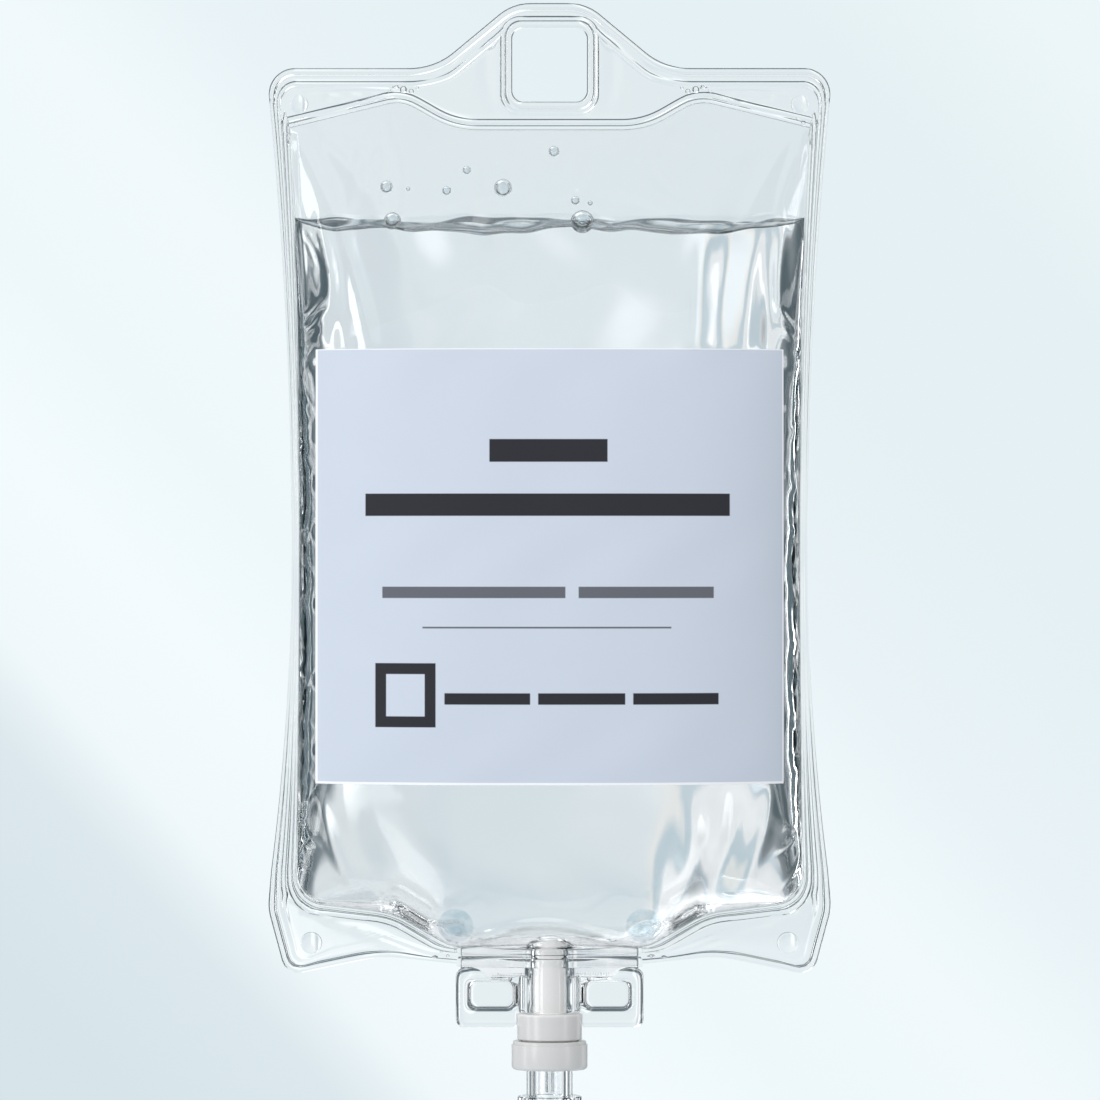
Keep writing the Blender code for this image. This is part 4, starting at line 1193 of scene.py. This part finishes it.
eye_rings = [upright(eye_outline(grown), -height) for grown, height in RIM_PROFILE]
eye_rings += [upright(eye_outline(grown), height) for grown, height in reversed(RIM_PROFILE)]
window = [upright(eye_outline(1.2), y) for y in (-3, 3)]
combined(welded_edge, "DIFFERENCE", solid("window", window, film_finish))
bosses = []
for boss_x, boss_z, radius in BOSSES:
    for side in (-1, 1):
        large, small = (circle(r, 40) + (side * boss_x, boss_z) for r in (radius, radius - 0.3))
        steps = ((small, -0.62), (large, -0.47), (large, 0.47), (small, 0.62))
        bosses.append(solid("boss", [upright(disc, y) for disc, y in steps], film_finish))
sleeve = [level(boat_outline(grown), z) for z, grown in SLEEVE_PROFILE]
lump_x, lump_z, lump_radii = zip(*mirrored_places(LUMPS))
lump_places = [(x, -0.35, z) for x, z in zip(lump_x, lump_z)]
lumps = balls_on_points("lumps", lump_places, lump_radii, film_finish)
combined(welded_edge, "UNION", tube_of("eye_rim", eye_rings, film_finish), *bosses, lumps,
         solid("sleeve", sleeve, film_finish))

# %% Room for the port in the edge
pocket = [level(boat_outline(0.12), z) for z in (-219, -210)]
tube_pocket = [level(circle(TUBE_RADIUS + 0.12), z) for z in (-219.5, -206)]
combined(welded_edge, "DIFFERENCE", solid("pocket", pocket, film_finish),
         solid("tube_pocket", tube_pocket, film_finish))
shaded(welded_edge, 50)
ready(welded_edge, "bag", "clear_film", "film_envelope")

# %% [markdown]
# ## Drops and bubbles
#
# Drops hang on the inside of the front film above the fluid, and two bubbles float at its surface.
# A ball of water in front of a pale field is nearly invisible. A clear shell bends the rays near
# its rim only, which draws each drop as a ring, as in the real bag. The fluid gets round rooms for
# the two bubbles.

# %% Places of the drops
# Each drop: its x, z and radius.
HANGING = (
    (-37.4, -36.8, 1.45), (-32.4, -37.3, 0.5), (-23.6, -37.7, 1.05), (-19.0, -32.9, 0.95),
    (-10.7, -37.0, 2.05), (1.0, -28.5, 1.25), (5.9, -40.0, 1.0), (9.3, -40.6, 0.6),
)
FLOATING = ((7.5, -44.9, 2.7), (-36.0, -44.7, 2.0))


def bubble_places(balls):
    """The balls' centres, so that each just misses the inside of the front film."""
    ball_x, ball_z, radius = (np.array(v) for v in zip(*balls))
    film = film_depth(ball_x, ball_z) + wrinkled(ball_x, ball_z, front_folds, True)
    return np.column_stack([ball_x, radius + 0.15 - film, ball_z])


print("drops:", len(HANGING), "hanging and", len(FLOATING), "floating")

# %% Drops
# The drops' grey-blue colour is painted shade that darkens them; the water itself is clear.
drop_finish = clear("clear_drops", (0.9, 0.93, 0.94), 0.0, 1.38)
DROPS = HANGING + FLOATING
drops = balls_on_points("drops", bubble_places(DROPS), [r for _, _, r in DROPS], drop_finish, True)
ready(drops, "bag", "clear_fluid", "infusion_fluid")

# %% [markdown]
# ## The fluid
#
# The fluid fills the chamber up to its level and takes the shape of the film round it. A liquid
# simulation would end in the same place, because the fluid is at rest: its surface is flat and
# climbs a little where it meets the two films. From the front those two contact lines show as a
# long dark lens. So the fluid is built like the films, on the same grid and folds, with a lid of
# lines for its surface.

# %% Fluid
FLUID_GAP = 0.12
FRONT_LINE, BACK_LINE, SIDE_LINE = -45.0, -42.6, -43.6
# The surface from front to back: the share of the way, and how far it drops.
MENISCUS = (
    (0.012, -0.75), (0.03, -1.4), (0.06, -2.0), (0.11, -2.45), (0.18, -2.6), (0.35, -2.5),
    (0.6, -2.2), (0.78, -1.9), (0.88, -1.55), (0.94, -1.1), (0.97, -0.7), (0.988, -0.35),
)
# Ripples of a contact line: size, pace and phase.
FRONT_WAVES = ((0.45, 7, 0.4), (0.3, 17, 1.0), (0.12, 41, 2.0))
BACK_WAVES = ((0.3, 6, 2.1), (0.2, 15, 0.2), (0.1, 37, 1.0))
fluid_finish = clear("clear_fluid", (0.995, 0.998, 1.0), 0.0, 1.33)


def contact(line, waves):
    """The height of one contact line, by the share of the way from the middle to the side."""
    def height(shares):
        middle = np.clip((1 - np.abs(shares)) / 0.12, 0, 1)
        ripple = sum(size * np.sin(shares * pace + phase) for size, pace, phase in waves)
        return SIDE_LINE + (line - SIDE_LINE + ripple) * middle
    return height


def surface(front, back):
    """Lines over the fluid's surface, from the front contact line to the back one."""
    near = np.column_stack([side[:, -1] for side in front])
    far = np.column_stack([side[:, -1] for side in back])
    apart = np.abs(near[:, 1] - far[:, 1])
    dip = np.clip(apart / 12, 0, 1)
    lines = []
    for share, drop in MENISCUS:
        line = near + (far - near) * share
        wave = 0.9 * np.sin(line[:, 0] * 0.16 + share * 4)
        wave += 0.55 * np.sin(line[:, 0] * 0.43 - share * 3)
        wave *= math.sin(math.pi * share)
        line[:, 2] += (drop + wave) * dip
        lines.append(line)
    return lines


def fluid_skin(side, folds, tops):
    """Points of the fluid's front or back, a small gap inside the film."""
    fx, fz = chamber_grid(FLUID_ROWS, 0.5, tops)
    gap = FLUID_GAP * slope_factor(fx, fz)
    half = film_depth(fx, fz) + wrinkled(fx, fz, folds, side < 0) - gap
    return fx, side * np.maximum(half, 0.06), fz


def dome(radius, foot, height, first):
    """The (radius, z) profile of a domed top, from an angle near its rim to its middle."""
    angles = np.radians(np.linspace(first, 4, 14))
    return [(radius * math.sin(angle), foot + height * math.cos(angle)) for angle in angles]


front_skin = fluid_skin(-1, front_folds, contact(FRONT_LINE, FRONT_WAVES))
back_skin = fluid_skin(1, back_folds, contact(BACK_LINE, BACK_WAVES))
fluid = two_skins("fluid", front_skin, back_skin, fluid_finish, lid=surface(front_skin, back_skin))

# %% Room for the port and the bubbles in the fluid
PORT_GAP = 0.3

dome_room = [(TUBE_RADIUS + PORT_GAP, -222), (TUBE_RADIUS + PORT_GAP, DOME_FOOT)]
dome_room += [(TUBE_RADIUS - 0.3, DOME_FOOT + 0.4)]
dome_room += dome(DOME_RADIUS + PORT_GAP, DOME_FOOT + 0.2, DOME_HEIGHT + PORT_GAP, 86)
bubble_radii = [radius + 0.08 for _, _, radius in FLOATING]
combined(
    fluid, "DIFFERENCE",
    solid("dome_room", [level(circle(radius), z) for radius, z in dome_room], fluid_finish),
    solid("boat_room", [level(boat_outline(PORT_GAP), z) for z in (-219, -211.1)], fluid_finish),
    balls_on_points("bubble_rooms", bubble_places(FLOATING), bubble_radii, fluid_finish),
)
shaded(fluid, 40)
ready(fluid, "bag", "clear_fluid", "infusion_fluid")

# %% [markdown]
# ## The label
#
# One paper sheet lies on the front film. Its print is plain: bars, a thin line and one hollow
# square. An image could carry them, but bars worked out from the place on the paper stay sharp at
# any distance. An attribute tells the paper's front from its back, which has no print.

# %% Label sizes and print
LABEL_LIFT, LABEL_PAPER = 0.1, 0.12
PAPER = srgb(203, 212, 226)
PAPER_EDGE = srgb(244, 247, 251)
DARK_INK, GREY_INK = srgb(52, 53, 58), srgb(104, 107, 116)
# Each bar: its left and right, then its low and high side.
DARK_BARS = (
    (-13.7, 13.2, -100.0, -94.8), (-42.0, 41.1, -112.3, -107.2),
    (-39.7, -25.9, -160.4, -145.8), (-23.9, -4.4, -155.2, -152.6), (-2.6, 17.2, -155.2, -152.6),
    (19.0, 38.5, -155.2, -152.6),
)
GREY_BARS = (
    (-38.1, 3.6, -131.0, -128.4), (6.6, 37.4, -131.0, -128.4), (-28.9, 27.7, -137.9, -137.5),
)
# The paper's bare edges: left, right, foot and top.
EDGE_STRIPS = (0.5, 0.3, 0.55, 0.2)
MARK_WINDOW = (-37.2, -28.4, -157.9, -148.3)
print("label:", 2 * LABEL_HALF, "by", round(LABEL_TOP - LABEL_FOOT, 1), "mm")

# %% Label paper
paper = material("label_paper", Roughness=0.6, Specular_IOR_Level=0.08)
tree = paper.node_tree
_, paper_x, _, paper_z = position(tree)


def bar(left, right, low, high, soft=0.12):
    """1 inside a rectangle given in millimetres."""
    across = ((right - left) / 2 - abs(paper_x / MM - (left + right) / 2)).ramp(-soft, soft)
    up = ((high - low) / 2 - abs(paper_z / MM - (low + high) / 2)).ramp(-soft, soft)
    return across * up


def together(shapes):
    """1 inside any of several rectangles."""
    total = 0
    for shape in shapes:
        total = bar(*shape) + total
    return total.math("MINIMUM", 1)


left, right, foot, top = EDGE_STRIPS
field_inside = bar(-LABEL_HALF + left, LABEL_HALF - right, LABEL_FOOT + foot, LABEL_TOP - top, 0.05)
dark = together(DARK_BARS) * (1 - bar(*MARK_WINDOW))
printed = node(tree, "ShaderNodeAttribute", "Fac", {"attribute_name": "printed"})
colour = field_inside.mix(PAPER_EDGE, PAPER)
colour = (dark * printed).mix(colour, DARK_INK)
colour = (together(GREY_BARS) * printed).mix(colour, GREY_INK)
connect(tree, tree.nodes["Principled BSDF"].inputs["Base Color"], colour)
print("label paper:", len(tree.nodes), "nodes")


# %% Label
def label_back(x, z):
    """How far in front of the bag's middle the back of the paper lies."""
    return depth(x, z) + swell(x, z) + (FILM_WALL + LABEL_LIFT) * slope_factor(x, z)


bend = math.radians(72)
label_x = LABEL_HALF * np.sin(np.linspace(-1, 1, 97) * bend) / math.sin(bend)
lx, lz = np.meshgrid(label_x, np.linspace(LABEL_FOOT, LABEL_TOP, 81), indexing="ij")
label_base = label_back(lx, lz)
skins = ((lx, -(label_base + LABEL_PAPER), lz), (lx, -label_base, lz))
label = two_skins("label", *skins, paper, 40)
corners = np.empty(len(label.data.vertices) * 3)
label.data.vertices.foreach_get("co", corners)
corner_x, corner_y, corner_z = corners.reshape(-1, 3).T / MM
in_front = (-corner_y > label_back(corner_x, corner_z) + LABEL_PAPER / 2).astype(float)
label.data.attributes.new("printed", "FLOAT", "POINT").data.foreach_set("value", in_front)
ready(label, "bag", "label_paper", "front_label")

# %% [markdown]
# ## The port
#
# The port is one clear moulding: a pointed boat that is welded between the films, two finger wings
# with thin panels, and a tube with a domed top. Simple bodies joined and cut give all of it, but
# with knife edges, which no moulding has and which a bevel can't round where curved bodies meet.
# So the joined body is remade from small voxels and smoothed a little. That rounds every edge.

# %% Port finishes
moulding_finish = clear("clear_moulding", (0.985, 0.988, 0.99), 0.04, 1.46)
rubber_finish = material("grey_rubber", Base_Color=srgb(150, 152, 154), Roughness=0.7)

# The tube shades its white stem, so painted light makes the stem a little brighter there than the
# collar below it.
white_finish = material("white_plastic", Roughness=0.25, Specular_IOR_Level=0.5)
white_tree = white_finish.node_tree
_, _, _, white_z = position(white_tree)
painted_light_in_tube = (white_z / MM).ramp(-227.5, -226.5)
connect(white_tree, white_tree.nodes["Principled BSDF"].inputs["Base Color"],
        painted_light_in_tube.mix(srgb(213, 213, 213), srgb(238, 238, 238)))
print("finishes:", [made.name for made in (moulding_finish, rubber_finish, white_finish)])

# %% Port, its bodies
WING_TOP, WING_FOOT, WING_THICK = -216.2, -229.8, 2.3
# The wings' rounded edge: how far in, and how far below the face.
WING_EDGE = ((1.5, 0), (0.8, 0.22), (0.3, 0.65), (0, 1.4))
SHELL = [(TUBE_RADIUS, -226.3), (TUBE_RADIUS, -211.7), (TUBE_RADIUS - 0.5, -211.2)]
SHELL += dome(DOME_RADIUS, DOME_FOOT, DOME_HEIGHT, 88)
wing_faces = [(inset, -WING_THICK + deep) for inset, deep in WING_EDGE]
wing_faces += [(inset, WING_THICK - deep) for inset, deep in reversed(WING_EDGE)]
port = solid("port", [
    upright(rounded_rectangle(-WING_HALF + i, WING_HALF - i, WING_FOOT + i, WING_TOP - i, 1.8), y)
    for i, y in wing_faces
], moulding_finish)
boat = solid("boat", [level(boat_outline(0), z) for z in (-217.7, -211.3)], moulding_finish)
tube = solid("tube", [level(circle(radius), z) for radius, z in SHELL], moulding_finish)
combined(port, "UNION", boat, tube)

# %% Port, its hollows
BORE = ((4.0, -228), (4.0, -209.6), (3.0, -208.6), (2.5, -208.6), (2.5, -206))
COLLAR_ROOM = ((7.75, -232), (7.75, -226.3))
# Each ring of a panel: half the thickness there, how far in, and corner radius.
PANEL = (
    (1.35, 1.3, 1.6), (1.42, 0.9, 1.8), (1.6, 0.55, 2.0), (1.85, 0.3, 2.1), (2.1, 0.05, 2.2),
    (2.24, -0.25, 2.3), (2.3, -0.6, 2.4), (3.3, -0.8, 2.5),
)
PANEL_NEAR, PANEL_FAR, PANEL_LOW, PANEL_HIGH = 7.4, 19.2, -226.1, -218.4

hollows = [
    solid("hollow", [level(circle(radius), z) for radius, z in profile], moulding_finish)
    for profile in (BORE, COLLAR_ROOM)
]
for side in (-1, 1):
    for face in (-1, 1):
        panel = []
        for half, draft, round_by in PANEL:
            ends = sorted((side * (PANEL_NEAR + draft), side * (PANEL_FAR - draft)))
            outline = rounded_rectangle(*ends, PANEL_LOW + draft, PANEL_HIGH - draft, round_by)
            panel.append(upright(outline, face * half))
        hollows.append(solid("panel", panel, moulding_finish))
combined(port, "DIFFERENCE", *hollows)
remesh = port.modifiers.new("even", "REMESH")
remesh.mode = "VOXEL"
remesh.voxel_size = 0.2 * MM
smooth = port.modifiers.new("soft", "SMOOTH")
smooth.factor = 0.5
smooth.iterations = 6
settled(port)
port.data.shade_smooth()
ready(port, "bag", "clear_moulding", "port_block")

# %% [markdown]
# ## Stem, ring, disc and connector
#
# A white stem closes the tube, a ring holds the rubber disc under it, and the spike of the clear
# connector goes through both. Each is round, so each is a profile of (radius, z) corners that is
# turned round the axis. A Screw modifier does the same, but here the profile closes on itself,
# which leaves no poles and no seam. Only the connector moves: it rides on its own body.

# %% Stem, ring, disc and connector
SPIGOT_FOOT, HUB_TOP, NECK_FOOT = -234.9, -237.2, -245.6


def turned(name, profile, finish):
    """A closed (radius, z) profile turned round the Z axis."""
    return tube_of(name, [level(circle(radius), z) for radius, z in profile], finish, crease=35)


stem = turned("stem", [
    (2.5, -208.9), (2.9, -208.9), (3.5, -209.4), (3.7, -210.0), (3.7, -226.6), (7.25, -226.6),
    (7.45, -226.8), (7.45, -232.4), (7.25, -232.6), (6.4, -232.6), (6.4, SPIGOT_FOOT),
    (2.5, SPIGOT_FOOT),
], white_finish)
ready(stem, "bag", "white_plastic", "port_stopper")
ring = turned("ring", [
    (6.7, -232.9), (8.3, -232.9), (8.45, -233.05), (8.45, -233.6), (8.75, -233.7), (8.75, -238.7),
    (8.6, -239.1), (8.2, -239.4), (5.6, -239.4), (5.6, HUB_TOP), (6.7, HUB_TOP),
], white_finish)
ready(ring, "bag", "white_plastic", "cap_ring")
disc = turned("rubber_disc", [(2.5, -235.2), (6.4, -235.2), (6.4, -236.9), (2.5, -236.9)],
              rubber_finish)
ready(disc, "bag", "grey_rubber", "septum")
connector = turned("connector", [
    (0.95, HUB_TOP + 26.5), (2.2, HUB_TOP + 20), (2.2, HUB_TOP), (5.1, HUB_TOP),
    (5.3, HUB_TOP - 0.2), (5.3, NECK_FOOT), (7.2, NECK_FOOT), (7.4, NECK_FOOT - 0.2),
    (7.4, NECK_FOOT - 2.6), (7.2, NECK_FOOT - 2.8), (3.6, NECK_FOOT - 2.8),
    (3.6, NECK_FOOT - 10.6), (2.05, NECK_FOOT - 10.6), (2.05, NECK_FOOT - 2.8),
    (1.5, NECK_FOOT - 2.8), (1.5, NECK_FOOT - 1.4), (3.8, NECK_FOOT - 1.4), (3.8, HUB_TOP - 1.8),
    (1.05, HUB_TOP - 1.8), (1.05, HUB_TOP - 7.5), (0.55, HUB_TOP - 7.5), (0.55, HUB_TOP + 26.5),
], moulding_finish)
ready(connector, "connector", "clear_moulding", "spike_connector")
